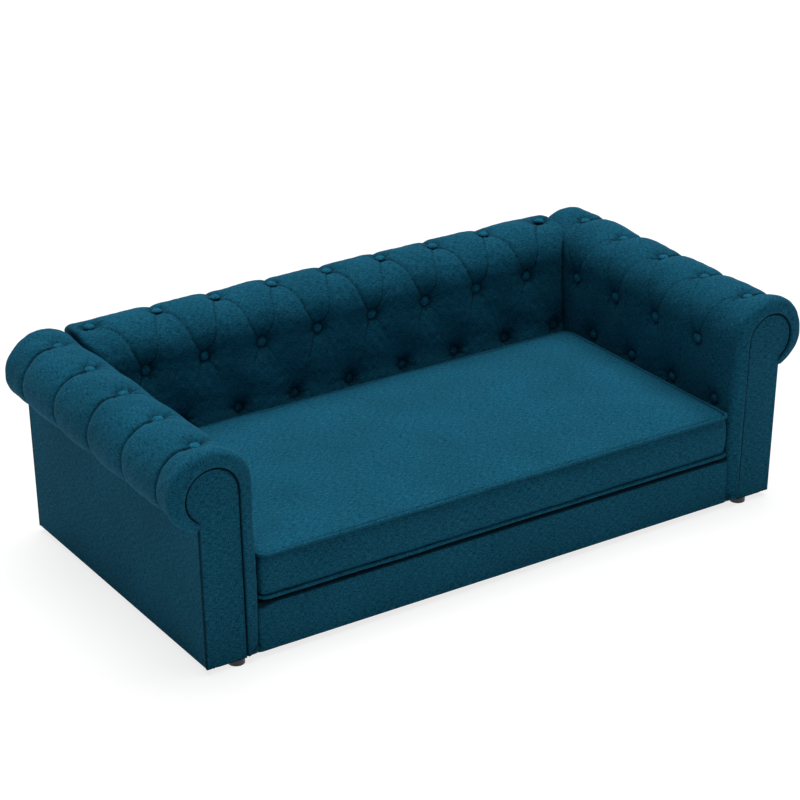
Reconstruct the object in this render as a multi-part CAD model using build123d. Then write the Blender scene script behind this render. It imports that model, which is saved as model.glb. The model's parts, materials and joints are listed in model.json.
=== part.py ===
"""Chesterfield sofa bed for a dog.

A low sofa on four small feet. Two arms and a back with rolled tops stand round a boxed
seat. Their inner faces and rolls are deep-buttoned, and a loose boxed cushion with a
zipped cover lies on the deck between them.

Millimetres. X runs along the seat, Y from the front to the back and Z up. The origin is
on the floor, under the middle of the whole sofa.

Each padded wall is drawn in its own frame first: u runs outwards from the axis of the
roll, w along the wall and Z up. The arms carry that frame along X and the back along Y.
"""

import os
from math import atan2, cos, degrees, pi, radians, sin, sqrt

from build123d import *

# Seat opening and the heights that everything hangs on
seat_length = 760.0
arm_depth = 472.0
foot_height = 8.0
deck_height = 77.4
roll_height = 243.5

# Layers of a padded wall, from the sitter outwards
tuft_cover = 14.0
tuft_cover_top = 12.0
tuft_cover_outer = 10.0
pad_foam = 8.0
sheet = 3.0
frame_width = 46.0
stiff_board = 2.6
fabric = 1.4

# Roll of the arms and the back
roll_former_radius = 31.0
pleat_depth = 4.5
pleat_reach = 9.0
roll_flare = 5.5
flare_length = 34.0
flare_start = 8.0
front_round = 12.0
rear_round = 8.0
front_lip = 5.0
rear_lip = 2.8

# Back, which leans and is thicker than the arms
back_tuft_cover = 18.0
back_lean = 14.8
back_frame_width = 48.0
back_end_round = 10.0
back_end_gap = 0.3

# Buttons, in rows along each wall
button_radius = 7.5
button_rise = 3.6
button_rim = 1.2
button_top_radius = 3.6
tuft_sides = 6
arm_row_margin = 12.0
arm_row_offset = -6.0
arm_low_row = 150.0
arm_middle_row = 225.0
arm_top_row_out = -3.0
back_row_margin = 34.4
back_low_row = 148.0
back_middle_row = 234.0
back_top_row_out = 3.0
arm_pit_depth = 9.0
roll_pit_depth = 10.4
back_pit_depth = 14.0
arm_pit_mouth = 15.0
back_pit_mouth = 19.0

# Keyhole facing on the front of each arm
facing_round = 35.3
facing_shift = 4.5
facing_flare = 5.2
facing_board = 2.5
facing_skin = 1.0
facing_groove = 0.8
facing_set_back = 1.5

# Timber and boards
plywood = 15.0
batten = 18.0
dust_cloth = 0.8
deck_board = 5.0
corner_block_side = 34.0
cross_rail_width = 30.0
back_rib_spacing = 250.0

# Seat front
rail_set_back = 2.0
front_padding = 8.0

# Feet
foot_radius = 11.0
foot_across = 28.0

# Cushion
cushion_side_gap = 13.6
cushion_proud = 2.0
cushion_rear_gap = 6.5
cushion_seam_rise = 4.1
cushion_band = 59.0
cushion_corner = 28.0
cushion_bulge = 2.5
cushion_crown = 8.5
cushion_crown_reach = 120.0
cushion_rest_gap = 0.3
cushion_skin = 1.5
piping_radius = 2.4
piping_stand = 1.2
piping_sides = 6
corner_steps = 4

# Zip in the rear band of the cushion
zip_end_margin = 165.6
zip_tape_width = 26.0
zip_tape = 0.9
teeth_width = 4.4
teeth_rise = 1.3
slider_length = 12.0
slider_width = 8.6
slider_shell = 1.2
slider_gap = 0.3
bridge_leg = 1.2
bridge_bar = 0.9
pull_length = 16.0
pull_gauge = 1.1
pull_bore = 1.1
pull_wall = 0.8
pull_gap = 0.3
cut_overrun = 5.0
quarter_turn = 90.0

# Shares of the sizes that they follow
pit_bend_share = 0.29
crown_rise_share = 0.68
crown_step_share = 0.38

# Places that follow from the sizes above
arm_inner = seat_length / 2
arm_pitch = (arm_depth - arm_row_margin) / 5
back_pitch = (seat_length - back_row_margin) / 8
roll_face = roll_former_radius + sheet + pad_foam + tuft_cover
roll_top = roll_former_radius + sheet + pad_foam + tuft_cover_top
roll_outer = roll_former_radius + sheet + pad_foam + tuft_cover_outer
foam_radius = roll_former_radius + sheet + pad_foam
sheet_radius = roll_former_radius + sheet
arm_roll = arm_inner + roll_face
arm_frame_out = frame_width - roll_former_radius
arm_wall_out = arm_frame_out + stiff_board + fabric
back_frame_out = back_frame_width - roll_former_radius
back_wall_out = back_frame_out + stiff_board + fabric
back_face = roll_former_radius + sheet + pad_foam + back_tuft_cover
frame_bottom = foot_height + dust_cloth
deck_top_board = deck_height - fabric
deck_under = deck_top_board - deck_board

sofa_depth = arm_depth + rail_set_back + roll_outer - back_wall_out
cushion_front = -sofa_depth / 2
facing_front = cushion_front + cushion_proud
pad_front = facing_front - facing_set_back
arm_rear = facing_front + arm_depth
back_roll = arm_rear - back_wall_out
back_frame_front = back_roll - roll_former_radius
core_front = pad_front + front_lip
core_rear = arm_rear - rear_lip
rail_front = facing_front + rail_set_back
arm_middle = (facing_front + arm_rear) / 2
back_end = arm_inner - back_end_gap
back_board_end = back_end - fabric
seat_front = rail_front + fabric + front_padding
seam_inset = piping_radius + piping_stand
seam_half = arm_inner - cushion_side_gap - seam_inset
seam_front = cushion_front + seam_inset
seam_rear = back_roll - back_face - back_lean - cushion_rear_gap - seam_inset
cushion_seam_low = deck_height + cushion_seam_rise
cushion_seam_high = cushion_seam_low + cushion_band
zip_length = 2 * seam_half - zip_end_margin
slider_rest = zip_length / 2 - slider_length
cushion_belly = cushion_seam_low - deck_height - cushion_rest_gap


def wall_plane(w):
    """The plane across a wall at w, with u to the right and Z up."""
    return Plane(origin=(0, w, 0), x_dir=(1, 0, 0), z_dir=(0, -1, 0))


def run(section, start, end):
    """Carries a section along its wall from start to end."""
    return extrude(wall_plane(end) * section, end - start)


def area(low_u, low_z, high_u, high_z):
    """A rectangle given by its two corners."""
    middle = Pos((low_u + high_u) / 2, (low_z + high_z) / 2)
    return middle * Rectangle(high_u - low_u, high_z - low_z)


def disc(radius, shift=0, height=roll_height):
    """A round section about the roll's axis, or beside it."""
    return Pos(shift, height) * Circle(radius)


def block(low, high):
    """A square-edged piece given by its two corners."""
    size = [high[axis] - low[axis] for axis in range(3)]
    middle = [(high[axis] + low[axis]) / 2 for axis in range(3)]
    return Pos(*middle) * Box(*size)


def group(pieces):
    """Separate solids that share one node."""
    return Compound(children=[solid for piece in pieces for solid in piece.solids()])


class Wall:
    """The sizes in which the arms and the back differ."""

    def __init__(self, span, face, lean, skin, foot, out, lips, rounds, flare):
        self.start, self.end = span
        self.face = face
        self.lean = lean
        self.skin = skin
        self.foot = foot
        self.out = out
        self.wall_out = out + stiff_board + fabric
        self.start_lip, self.end_lip = lips
        self.start_round, self.end_round = rounds
        self.flare = flare
        self.radius = (face + roll_outer) / 2
        self.shift = (roll_outer - face) / 2
        self.middle = roll_height + roll_top - self.radius
        beside = self.wall_out - self.shift
        below = sqrt(self.radius**2 - beside**2)
        self.neck = self.middle - below
        self.roll_arc = 2 * quarter_turn + degrees(atan2(below, beside))

    def face_at(self, z):
        """u of the padded face at a height."""
        if z >= self.middle:
            return -self.face
        return -self.face - self.lean * (self.middle - z) / (self.middle - deck_height)


def padded_section(wall):
    """The outside of a padded wall: up the face, over the roll and down to the tuck."""
    outline = [
        (wall.face_at(wall.foot), wall.foot),
        (-wall.face, wall.middle),
        (wall.wall_out, wall.middle),
        (wall.wall_out, wall.foot),
    ]
    section = make_face(Polyline(*outline, close=True))
    section += disc(wall.radius, wall.shift, wall.middle)
    return section - area(wall.out, wall.foot - cut_overrun, wall.wall_out, wall.neck)


def turned(profile, shift, middle, start, arc):
    """Turns a profile of places and radii about an axis along the wall, from the face over."""
    way = radians(start)
    plane = Plane(origin=(shift, 0, middle), x_dir=(0, 1, 0), z_dir=(sin(way), 0, cos(way)))
    face = plane * make_face(Polyline(*profile, close=True))
    return revolve(face, Axis((shift, 0, middle), (0, 1, 0)), arc)


def pleat(wall, w):
    """The step of a lapped pleat, from the top of the roll over its outside to the tuck."""
    reach = pleat_reach * (1 + cut_overrun / pleat_depth)
    high = wall.radius + cut_overrun
    profile = [(w, high), (w, wall.radius - pleat_depth), (w + reach, high)]
    arc = wall.roll_arc - quarter_turn
    return turned(profile, wall.shift, wall.middle, quarter_turn, arc)


def rounding(wall, at, inward, size, flare):
    """What rounds an end: a ring about the roll and a strip down the padded face."""
    bow = size * (1 - sqrt(2) / 2)
    radius = wall.radius + flare / 2
    over = cut_overrun
    steps = [(-over, over), (-over, -size), (0, -size), (size, 0), (size, over)]
    if flare > 0:
        steps.insert(3, (bow, -bow))
    profile = [(at + inward * w, radius + r) for w, r in steps]
    shift, middle = wall.shift + flare / 2, wall.middle + flare / 2
    ring = turned(profile, shift, middle, 0, wall.roll_arc)
    plane = Plane(origin=(shift, 0, middle), x_dir=(0, 1, 0), z_dir=(0, 0, 1))
    strip = plane * make_face(Polyline(*profile, close=True))
    down = (wall.face_at(deck_height) + wall.face, 0, deck_height - wall.middle)
    return ring + extrude(strip, middle, dir=down)


def flared_lip(wall):
    """The flare of the roll at the front end of an arm."""
    radius = wall.radius + wall.flare / 2
    far = wall.start + flare_length
    low = roll_former_radius
    profile = [(wall.start, low), (wall.start, radius), (far, radius - wall.flare), (far, low)]
    shift, middle = wall.shift + wall.flare / 2, wall.middle + wall.flare / 2
    return turned(profile, shift, middle, flare_start, wall.roll_arc - flare_start)


def padded_form(wall, pleats):
    """The padding of a wall: a rolled section, its flare, rounded ends and pleats."""
    form = run(padded_section(wall), wall.start, wall.end)
    if wall.flare > 0:
        form += flared_lip(wall)
    form -= rounding(wall, wall.start, 1, wall.start_round, wall.flare)
    form -= rounding(wall, wall.end, -1, wall.end_round, 0)
    for w in pleats:
        form -= pleat(wall, w)
    return form


def core_section(wall):
    """What lies under the tufted cover: foam, sheet, frame and outer board."""
    inner = [
        (wall.face_at(deck_height) + wall.skin, deck_height),
        (-foam_radius, roll_height),
        (wall.out, roll_height),
        (wall.out, deck_height),
    ]
    section = make_face(Polyline(*inner, close=True)) + disc(foam_radius)
    if wall.foot < deck_height:
        low = foot_height - cut_overrun
        section += area(wall.face_at(deck_height) + fabric, low, wall.out, deck_height)
    return section


def tuft_cone(base, near, far, height):
    """A many-sided cone that narrows upwards from a base height."""
    slope = degrees(atan2((near - far) * cos(pi / tuft_sides), height))
    return Pos(0, 0, base) * extrude(RegularPolygon(near, tuft_sides), height, taper=slope)


def tuft_plane(at, direction):
    """The plane of a tuft, with its first axis along the wall."""
    return Plane(origin=at, x_dir=(0, 1, 0), z_dir=direction)


def pit(at, direction, depth, mouth):
    """The hollow that a button pulls into the padding, with a flat seat at its foot."""
    seat = button_radius + button_rim / 2
    bend = seat + (mouth - seat) * pit_bend_share
    bend_depth = depth * pit_bend_share
    hollow = extrude(RegularPolygon(mouth, tuft_sides), -cut_overrun)
    hollow += tuft_cone(0, mouth, bend, bend_depth)
    hollow += tuft_cone(bend_depth, bend, seat, depth - bend_depth)
    return tuft_plane(at, -Vector(*direction)) * hollow


def button(at, direction, depth):
    """A covered button: a low dome over a flat back, on the seat of its pit."""
    back = button_radius - button_rim / 2
    way = Vector(*direction).normalized()
    rim = Vector(*at) - way * (depth - button_rim)
    dome = tuft_cone(0, button_radius, button_top_radius, button_rise - button_rim)
    edge = tuft_cone(0, button_radius, back, button_rim)
    return tuft_plane(rim, way) * dome + tuft_plane(rim, -way) * edge


def row(count, pitch, middle):
    """Places of a row, evenly spaced about its middle."""
    return [middle + pitch * (i - (count - 1) / 2) for i in range(count)]


def face_seats(wall, places, z, depth):
    """Where the buttons of a row sit on the padded face: place, direction and depth."""
    lean = atan2(wall.lean, roll_height - deck_height)
    normal = (-cos(lean), 0, sin(lean))
    return [((wall.face_at(z), w, z), normal, depth) for w in places]


def roll_seats(places, out):
    """Where the buttons of the top row sit on the roll."""
    height = sqrt(roll_top**2 - out**2)
    return [((out, w, roll_height + height), (out, 0, height), roll_pit_depth) for w in places]


def tufted_cover(wall, seats, pleats, mouth):
    """The quilted cover with its puffs, pits, pleats and the lips at its ends."""
    cover = padded_form(wall, pleats)
    cover -= run(core_section(wall), wall.start + wall.start_lip, wall.end - wall.end_lip)
    for at, direction, depth in seats:
        cover -= pit(at, direction, depth, mouth)
    return cover


def keyhole(grow):
    """The facing's outline: a round head over a leg that flares out below."""
    inner = facing_shift - facing_round
    leg = [
        (inner - facing_flare - grow, foot_height - grow),
        (arm_wall_out + grow, foot_height - grow),
        (arm_wall_out + grow, roll_height),
        (inner - grow, roll_height),
    ]
    return make_face(Polyline(*leg, close=True)) + disc(facing_round + grow, facing_shift)


def upper_ring(outer, inner, out):
    """A ring about the roll's axis, without what lies inside the wall below it."""
    ring = disc(outer) - disc(inner)
    return ring - area(-outer - cut_overrun, foot_height, out, roll_height)


def board_section(out):
    """An end board: a straight leg with a round head for the roll."""
    leg = area(-roll_former_radius, frame_bottom, out, roll_height)
    return leg + disc(roll_former_radius)


arm_wall = Wall(
    span=(pad_front, arm_rear),
    face=roll_face,
    lean=0,
    skin=tuft_cover,
    foot=foot_height,
    out=arm_frame_out,
    lips=(front_lip, rear_lip),
    rounds=(front_round, rear_round),
    flare=roll_flare,
)
back_wall = Wall(
    span=(-back_end, back_end),
    face=back_face,
    lean=back_lean,
    skin=back_tuft_cover,
    foot=deck_height,
    out=back_frame_out,
    lips=(fabric, fabric),
    rounds=(back_end_round, back_end_round),
    flare=0,
)

# Rows of buttons; the pleats run over the rolls from the top rows
arm_top_places = row(5, arm_pitch, arm_middle + arm_row_offset)
arm_between_places = row(4, arm_pitch, arm_middle + arm_row_offset)
arm_seats = roll_seats(arm_top_places, arm_top_row_out)
arm_seats += face_seats(arm_wall, arm_between_places, arm_middle_row, arm_pit_depth)
arm_seats += face_seats(arm_wall, arm_top_places, arm_low_row, arm_pit_depth)
back_top_places = row(9, back_pitch, 0)
back_between_places = row(8, back_pitch, 0)
back_top_seats = roll_seats(back_top_places, back_top_row_out)
back_face_seats = face_seats(back_wall, back_between_places, back_middle_row, back_pit_depth)
back_face_seats += face_seats(back_wall, back_top_places, back_low_row, back_pit_depth)

feet_places = [
    (arm_inner + foot_across, core_front + plywood / 2),
    (arm_inner + foot_across, core_rear - plywood / 2),
]


def neck_batten(wall):
    """The batten under the roll, to which the outer board and cover are tacked."""
    return area(wall.out - batten, wall.neck - 2 * batten, wall.out, wall.neck)


def crown_batten():
    """The batten along the top of the roll, shaped to the former."""
    top = roll_height + roll_former_radius
    return area(-batten / 2, top - batten, batten / 2, top) & disc(roll_former_radius)


def on_arm(piece):
    """A piece of the wall's own frame, carried to the right arm."""
    return Pos(arm_roll, 0, 0) * piece


def on_back(piece):
    """A piece of the wall's own frame, carried to the back."""
    return Pos(0, back_roll, 0) * Rot(0, 0, 90) * piece


def arm_frame():
    """Timber of the right arm: end boards, side rail and battens."""
    section = board_section(arm_frame_out)
    front = on_arm(run(section, core_front, core_front + plywood))
    rear = on_arm(run(section, core_rear - plywood, core_rear))
    rail_u = arm_wall.face_at(deck_height) + fabric
    rail = area(rail_u, frame_bottom, -roll_former_radius, deck_height)
    span = (core_front + plywood, core_rear - plywood)
    out = arm_frame_out
    low = area(-roll_former_radius, frame_bottom, out, frame_bottom + batten)
    battens = [low, neck_batten(arm_wall), crown_batten()]
    return {
        "arm_front_board": front,
        "arm_rear_board": rear,
        "arm_side_rail": on_arm(run(rail, core_front, core_rear)),
        "arm_battens": group([on_arm(run(section, *span)) for section in battens]),
    }


def arm_padding():
    """Sheet, roll former and foam of the right arm, under its tufted cover."""
    span = (core_front, core_rear)
    out = arm_frame_out
    flat = area(-sheet_radius, deck_height, -roll_former_radius, roll_height)
    foam_flat = area(-foam_radius, deck_height, -sheet_radius, roll_height)
    foam = foam_flat + upper_ring(foam_radius, sheet_radius, out)
    return {
        "arm_inner_sheet": on_arm(run(flat, *span)),
        "arm_roll_former": on_arm(run(upper_ring(sheet_radius, roll_former_radius, out), *span)),
        "arm_foam": on_arm(run(foam, *span)),
    }


def arm_covers():
    """Covers of the right arm: tufted cover, facing, outer side and rear."""
    cover = tufted_cover(arm_wall, arm_seats, arm_top_places, arm_pit_mouth)
    opening = keyhole(facing_groove)
    cover -= run(opening, pad_front - cut_overrun, core_front)
    cover -= run(opening, core_rear, arm_rear + cut_overrun)
    board = run(keyhole(-facing_skin), core_front - facing_board, core_front)
    facing = run(keyhole(0), facing_front, core_front) - board
    out = arm_frame_out
    neck = arm_wall.neck
    stiff = area(out, frame_bottom, out + stiff_board, neck)
    outer = area(out + stiff_board, foot_height, arm_wall_out, neck)
    span = (core_front, core_rear)
    buttons = [on_arm(button(*seat)) for seat in arm_seats]
    return {
        "arm_tufted_cover": on_arm(cover),
        "arm_buttons": group(buttons),
        "arm_facing_board": on_arm(board),
        "arm_facing_cover": on_arm(facing),
        "arm_outer_board": on_arm(run(stiff, *span)),
        "arm_outer_cover": on_arm(run(outer, *span)),
        "arm_rear_cover": on_arm(run(keyhole(0), core_rear, arm_rear)),
    }


def seat_frame():
    """Timber of the seat between the arms: rails, cross rails, corner blocks and deck."""
    half, front, rear = arm_inner, seat_front, back_frame_front
    low, high = frame_bottom, deck_under
    inner_x, inner_front, inner_rear = half - plywood, front + plywood, rear - plywood
    front_rail = block((-half, front, low), (half, inner_front, high))
    rear_rail = block((-half, inner_rear, low), (half, rear, high))
    end_rail = block((inner_x, inner_front, low), (half, inner_rear, high))
    wide = cross_rail_width / 2
    cross = [
        block((x - wide, inner_front, high - batten), (x + wide, inner_rear, high))
        for x in row(3, back_rib_spacing, 0)
    ]
    side = corner_block_side
    triangle = make_face(Polyline((0, 0), (side, 0), (0, side), close=True))
    corner = extrude(triangle, high - low)
    corners = [
        Pos(-inner_x, inner_front, low) * corner,
        Pos(-inner_x, inner_rear, low) * Rot(0, 0, -90) * corner,
        Pos(inner_x, inner_front, low) * Rot(0, 0, 90) * corner,
        Pos(inner_x, inner_rear, low) * Rot(0, 0, 180) * corner,
    ]
    return {
        "seat_front_rail": front_rail,
        "seat_rear_rail": rear_rail,
        "seat_end_rails": group([end_rail, mirror(end_rail, about=Plane.YZ)]),
        "seat_cross_rails": group(cross),
        "seat_corner_blocks": group(corners),
        "seat_deck": block((-half, front, deck_under), (half, rear, deck_top_board)),
    }


def nosed(front, low, top, radius):
    """A side view of the seat from its front face to the back, with a rounded front edge."""
    corner = area(front, top - radius, front + radius, top)
    nose = Pos(front + radius, top - radius) * Circle(radius) & corner
    return area(front, low, back_frame_front, top) - corner + nose


def seat_covers():
    """Front padding, and the cover over the front rail and the deck."""
    side = Plane(origin=(-arm_inner, 0, 0), x_dir=(0, 1, 0), z_dir=(1, 0, 0))
    front = rail_front + fabric
    outer = nosed(rail_front, foot_height, deck_height, front_padding + fabric)
    inner = nosed(front, foot_height - cut_overrun, deck_top_board, front_padding)
    padding = inner & area(front, frame_bottom, seat_front, deck_top_board)
    return {
        "seat_cover": extrude(side * (outer - inner), 2 * arm_inner),
        "seat_front_padding": extrude(side * padding, 2 * arm_inner),
    }


def dust_cloths():
    """Thin cloths under the seat and back, and under each arm."""
    rear = back_roll + back_frame_out + stiff_board
    seat = block(
        (-arm_inner, rail_front + fabric, foot_height), (arm_inner, rear, frame_bottom)
    )
    inner = arm_wall.face_at(deck_height) + fabric
    under_arm = area(inner, foot_height, arm_frame_out + stiff_board, frame_bottom)
    arm = on_arm(run(under_arm, core_front, core_rear))
    return group([seat, arm, mirror(arm, about=Plane.YZ)])


def back_frame():
    """Timber of the back: end boards, notched ribs and rails between the arms."""
    section = board_section(back_frame_out)
    end = back_board_end
    boards = [run(section, -end, plywood - end), run(section, end - plywood, end)]
    front = -roll_former_radius
    rail = area(front, frame_bottom, front + batten, deck_under)
    upper = [neck_batten(back_wall), crown_batten()]
    rib = section - rail - upper[0] - upper[1]
    ribs = [
        on_back(run(rib, place - plywood / 2, place + plywood / 2))
        for place in row(2, back_rib_spacing, 0)
    ]
    span = (plywood - end, end - plywood)
    return {
        "back_end_boards": group([on_back(piece) for piece in boards]),
        "back_ribs": group(ribs),
        "back_bottom_rail": on_back(run(rail, *span)),
        "back_upper_rails": group([on_back(run(part, *span)) for part in upper]),
    }


def back_padding():
    """Sheet, roll former and foam of the back."""
    end = back_board_end
    out = back_frame_out
    flat = area(-sheet_radius, deck_height, -roll_former_radius, roll_height)
    skin = back_wall.skin
    wedge = [
        (back_wall.face_at(deck_height) + skin, deck_height),
        (-sheet_radius, deck_height),
        (-sheet_radius, roll_height),
        (-foam_radius, roll_height),
    ]
    foam = make_face(Polyline(*wedge, close=True)) + upper_ring(foam_radius, sheet_radius, out)
    return {
        "back_inner_sheet": on_back(run(flat, -end, end)),
        "back_roll_former": on_back(
            run(upper_ring(sheet_radius, roll_former_radius, out), -end, end)
        ),
        "back_foam": on_back(run(foam, -end, end)),
    }


def back_covers():
    """Covers of the back: tufted cover with its end flaps, buttons, rear board and cover."""
    seats = back_top_seats + back_face_seats
    cover = tufted_cover(back_wall, [], back_top_places, 0)
    for at, direction, depth in back_top_seats:
        cover -= pit(at, direction, depth, arm_pit_mouth)
    for at, direction, depth in back_face_seats:
        cover -= pit(at, direction, depth, back_pit_mouth)
    flap = area(-roll_former_radius, frame_bottom, back_frame_out, deck_height)
    cover += run(flap, -back_end, -back_board_end) + run(flap, back_board_end, back_end)
    out = back_frame_out
    stiff = area(out, frame_bottom, out + stiff_board, back_wall.neck)
    rear = area(out + stiff_board, foot_height, back_wall.wall_out, back_wall.neck)
    span = (-back_end, back_end)
    return {
        "back_tufted_cover": on_back(cover),
        "back_buttons": group([on_back(button(*seat)) for seat in seats]),
        "back_rear_board": on_back(run(stiff, *span)),
        "back_rear_cover": on_back(run(rear, *span)),
    }


def cushion_outline(grow, corner):
    """Points round the cushion's plan, from the middle of its rear, grown beyond its seam."""
    half = seam_half + grow - corner
    front, rear = seam_front - grow + corner, seam_rear + grow - corner
    points = [(0, rear + corner)]
    centres = [(half, rear), (half, front), (-half, front), (-half, rear)]
    for place, (x, y) in enumerate(centres):
        for step in range(corner_steps + 1):
            way = radians(quarter_turn * (place + step / corner_steps))
            points.append((x + corner * sin(way), y + corner * cos(way)))
    return points


def cushion_side(near, far, inset, far_bulge):
    """A view of the cushion from one side: crown, boxed edges that bulge, and belly."""
    low, high = cushion_seam_low + inset, cushion_seam_high - inset
    crown, belly = cushion_crown, cushion_belly
    near, far = near + inset, far - inset
    step, reach = cushion_crown_reach * crown_step_share, cushion_crown_reach
    share = crown_rise_share
    middle = (low + high) / 2
    lower = [(step, low - belly * share), (reach, low - belly)]
    upper = [(step, high + crown * share), (reach, high + crown)]
    points = [(near, low)] + [(near + d, z) for d, z in lower]
    points += [(far - d, z) for d, z in reversed(lower)] + [(far, low), (far + far_bulge, middle)]
    points += [(far, high)] + [(far - d, z) for d, z in upper]
    points += [(near + d, z) for d, z in reversed(upper)]
    points += [(near, high), (near - cushion_bulge, middle)]
    return make_face(Polyline(*points, close=True))


def cushion_form(inset):
    """The cushion within a skin: two side views that cross, with its corners rounded."""
    front_view = cushion_side(-seam_half, seam_half, inset, cushion_bulge)
    side_view = cushion_side(seam_front, seam_rear, inset, 0)
    length, depth = arm_depth, 2 * arm_inner
    form = extrude(Plane.XZ * front_view, length, both=True)
    form &= extrude(Plane.YZ * side_view, depth, both=True)
    corner = cushion_corner + cushion_bulge * (2 + sqrt(2))
    plan = cushion_outline(cushion_bulge - inset, corner - inset)
    return form & extrude(make_face(Polyline(*plan, close=True)), roll_height)


def cushion_piping(z):
    """A round piping that follows the seam at a height."""
    points = cushion_outline(piping_stand, cushion_corner)
    path = Polyline(*[(x, y, z) for x, y in points], close=True)
    profile = Plane(origin=path @ 0, z_dir=path % 0) * RegularPolygon(piping_radius, piping_sides)
    return sweep(profile, path=path, transition=Transition.RIGHT)


def cushion_and_zip():
    """The loose cushion, and the zip in its flat rear band."""
    middle = (cushion_seam_low + cushion_seam_high) / 2
    face = seam_rear
    half, tape_half = zip_length / 2, zip_tape_width / 2
    tape = block((-half, face - zip_tape, middle - tape_half), (half, face, middle + tape_half))
    teeth_half = teeth_width / 2
    teeth = block(
        (-half + slider_length / 2, face, middle - teeth_half),
        (half - slider_length / 2, face + teeth_rise, middle + teeth_half),
    )
    pipings = [
        cushion_piping(cushion_seam_low - piping_stand / 2),
        cushion_piping(cushion_seam_high + piping_stand / 2),
    ]
    foam = cushion_form(cushion_skin)
    cover = cushion_form(0) - foam - tape - pipings[0] - pipings[1]
    return {
        "cushion_foam": foam,
        "cushion_cover": cover,
        "cushion_piping": group(pipings),
        "zip_tape": tape,
        "zip_teeth": teeth,
        "zip_slider": zip_slider(face, middle),
        "zip_pull": zip_pull(face, middle),
    }


def slider_faces(face):
    """Y of the slider's inner and outer faces and of the axis of its bridge bar."""
    inner = face + teeth_rise + slider_gap
    outer = inner + slider_shell
    return inner, outer, outer + pull_gap + pull_wall + pull_bore


def zip_slider(face, middle):
    """A channel that rides over the teeth, with a bridge for the pull."""
    inner, outer, axis = slider_faces(face)
    low, high = slider_rest - slider_length / 2, slider_rest + slider_length / 2
    wide, channel = slider_width / 2, teeth_width / 2 + slider_gap
    body = block((low, face + slider_gap, middle - wide), (high, outer, middle + wide))
    body -= block(
        (low - cut_overrun, face, middle - channel), (high + cut_overrun, inner, middle + channel)
    )
    bar = bridge_bar / 2
    for start, end in ((low, low + bridge_leg), (high - bridge_leg, high)):
        body += block((start, outer, middle - bar), (end, axis + bar, middle + bar))
    return body + block((low, axis - bar, middle - bar), (high, axis + bar, middle + bar))


def zip_pull(face, middle):
    """A tab that hangs from the bridge by a rolled eye."""
    axis = slider_faces(face)[2]
    half = slider_length / 2 - bridge_leg - pull_gap
    eye = Pos(axis, middle) * (Circle(pull_bore + pull_wall) - Circle(pull_bore))
    tab_half = pull_gauge / 2
    top = middle - pull_bore - pull_wall / 2
    tab = area(axis - tab_half, middle - pull_length, axis + tab_half, top)
    side = Plane(origin=(slider_rest - half, 0, 0), x_dir=(0, 1, 0), z_dir=(1, 0, 0))
    return extrude(side * (eye + tab), 2 * half)


def feet():
    """The four feet, under the boards at the ends of the arms."""
    places = feet_places + [(-x, y) for x, y in feet_places]
    return group([extrude(Pos(x, y) * Circle(foot_radius), foot_height) for x, y in places])


nodes = {}
for part_set in (arm_frame(), arm_padding(), arm_covers()):
    for name, piece in part_set.items():
        nodes["right_" + name] = piece
        nodes["left_" + name] = mirror(piece, about=Plane.YZ)
for part_set in (seat_frame(), seat_covers(), back_frame(), back_padding(), back_covers()):
    nodes.update(part_set)
nodes["dust_cloths"] = dust_cloths()
nodes["feet"] = feet()
nodes.update(cushion_and_zip())

os.makedirs("parts", exist_ok=True)
for name, piece in nodes.items():
    export_step(piece, f"parts/{name}.step")
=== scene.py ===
"""Looks of the chesterfield dog sofa: covers, buttons, cushion, piping, materials and studio.

Metres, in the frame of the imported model: X along the seat, Y to the back, Z up. Soft pieces
are surfaces worked out on grids of points. A wall of the sofa has its own frame: u runs
outwards from the axis of its roll, w along the wall, and s along its cover from the foot of
the padded face, over the roll, to the tuck under it.
"""

import json
import math

import bpy
import numpy as np
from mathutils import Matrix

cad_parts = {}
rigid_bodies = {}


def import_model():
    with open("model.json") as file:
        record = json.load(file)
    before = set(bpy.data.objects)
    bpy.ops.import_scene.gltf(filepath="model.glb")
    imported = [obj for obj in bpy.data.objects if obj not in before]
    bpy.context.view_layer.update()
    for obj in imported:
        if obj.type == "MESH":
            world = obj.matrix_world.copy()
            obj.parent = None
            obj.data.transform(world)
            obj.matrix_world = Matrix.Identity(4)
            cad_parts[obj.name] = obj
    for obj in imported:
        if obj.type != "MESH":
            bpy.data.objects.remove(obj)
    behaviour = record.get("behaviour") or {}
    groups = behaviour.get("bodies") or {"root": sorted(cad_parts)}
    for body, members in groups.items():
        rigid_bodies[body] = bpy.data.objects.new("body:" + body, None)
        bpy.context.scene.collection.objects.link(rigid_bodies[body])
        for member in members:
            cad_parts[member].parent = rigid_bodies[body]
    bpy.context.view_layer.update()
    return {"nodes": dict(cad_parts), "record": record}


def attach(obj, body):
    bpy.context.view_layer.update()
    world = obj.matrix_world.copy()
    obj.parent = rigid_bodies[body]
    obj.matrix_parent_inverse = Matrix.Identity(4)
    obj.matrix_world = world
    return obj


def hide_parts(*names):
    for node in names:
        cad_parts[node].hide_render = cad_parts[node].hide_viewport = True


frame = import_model()

MM = 0.001

# The sofa's main sizes

ARM_INNER = 380 * MM
ARM_AXIS = 436 * MM
ARM_FRONT = -252 * MM
ARM_REAR = 221.5 * MM
CORE_FRONT = -247 * MM
CORE_REAR = 218.7 * MM
SIDE_PANEL = 455 * MM
SIDE_PANEL_TOP = 202 * MM
SIDE_PANEL_LAP = 0.3 * MM
BACK_AXIS = 200.5 * MM
BACK_END = 379.7 * MM
BACK_PANEL = 221.5 * MM
BACK_PANEL_TOP = 193 * MM
BACK_PANEL_LAP = 4 * MM
BACK_PANEL_TURN = 14 * MM
ROLL_HEIGHT = 243.5 * MM
DECK = 77.4 * MM
FOOT = 8 * MM

# The keyhole facing: its head's centre and radius, and the height of its neck

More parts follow.
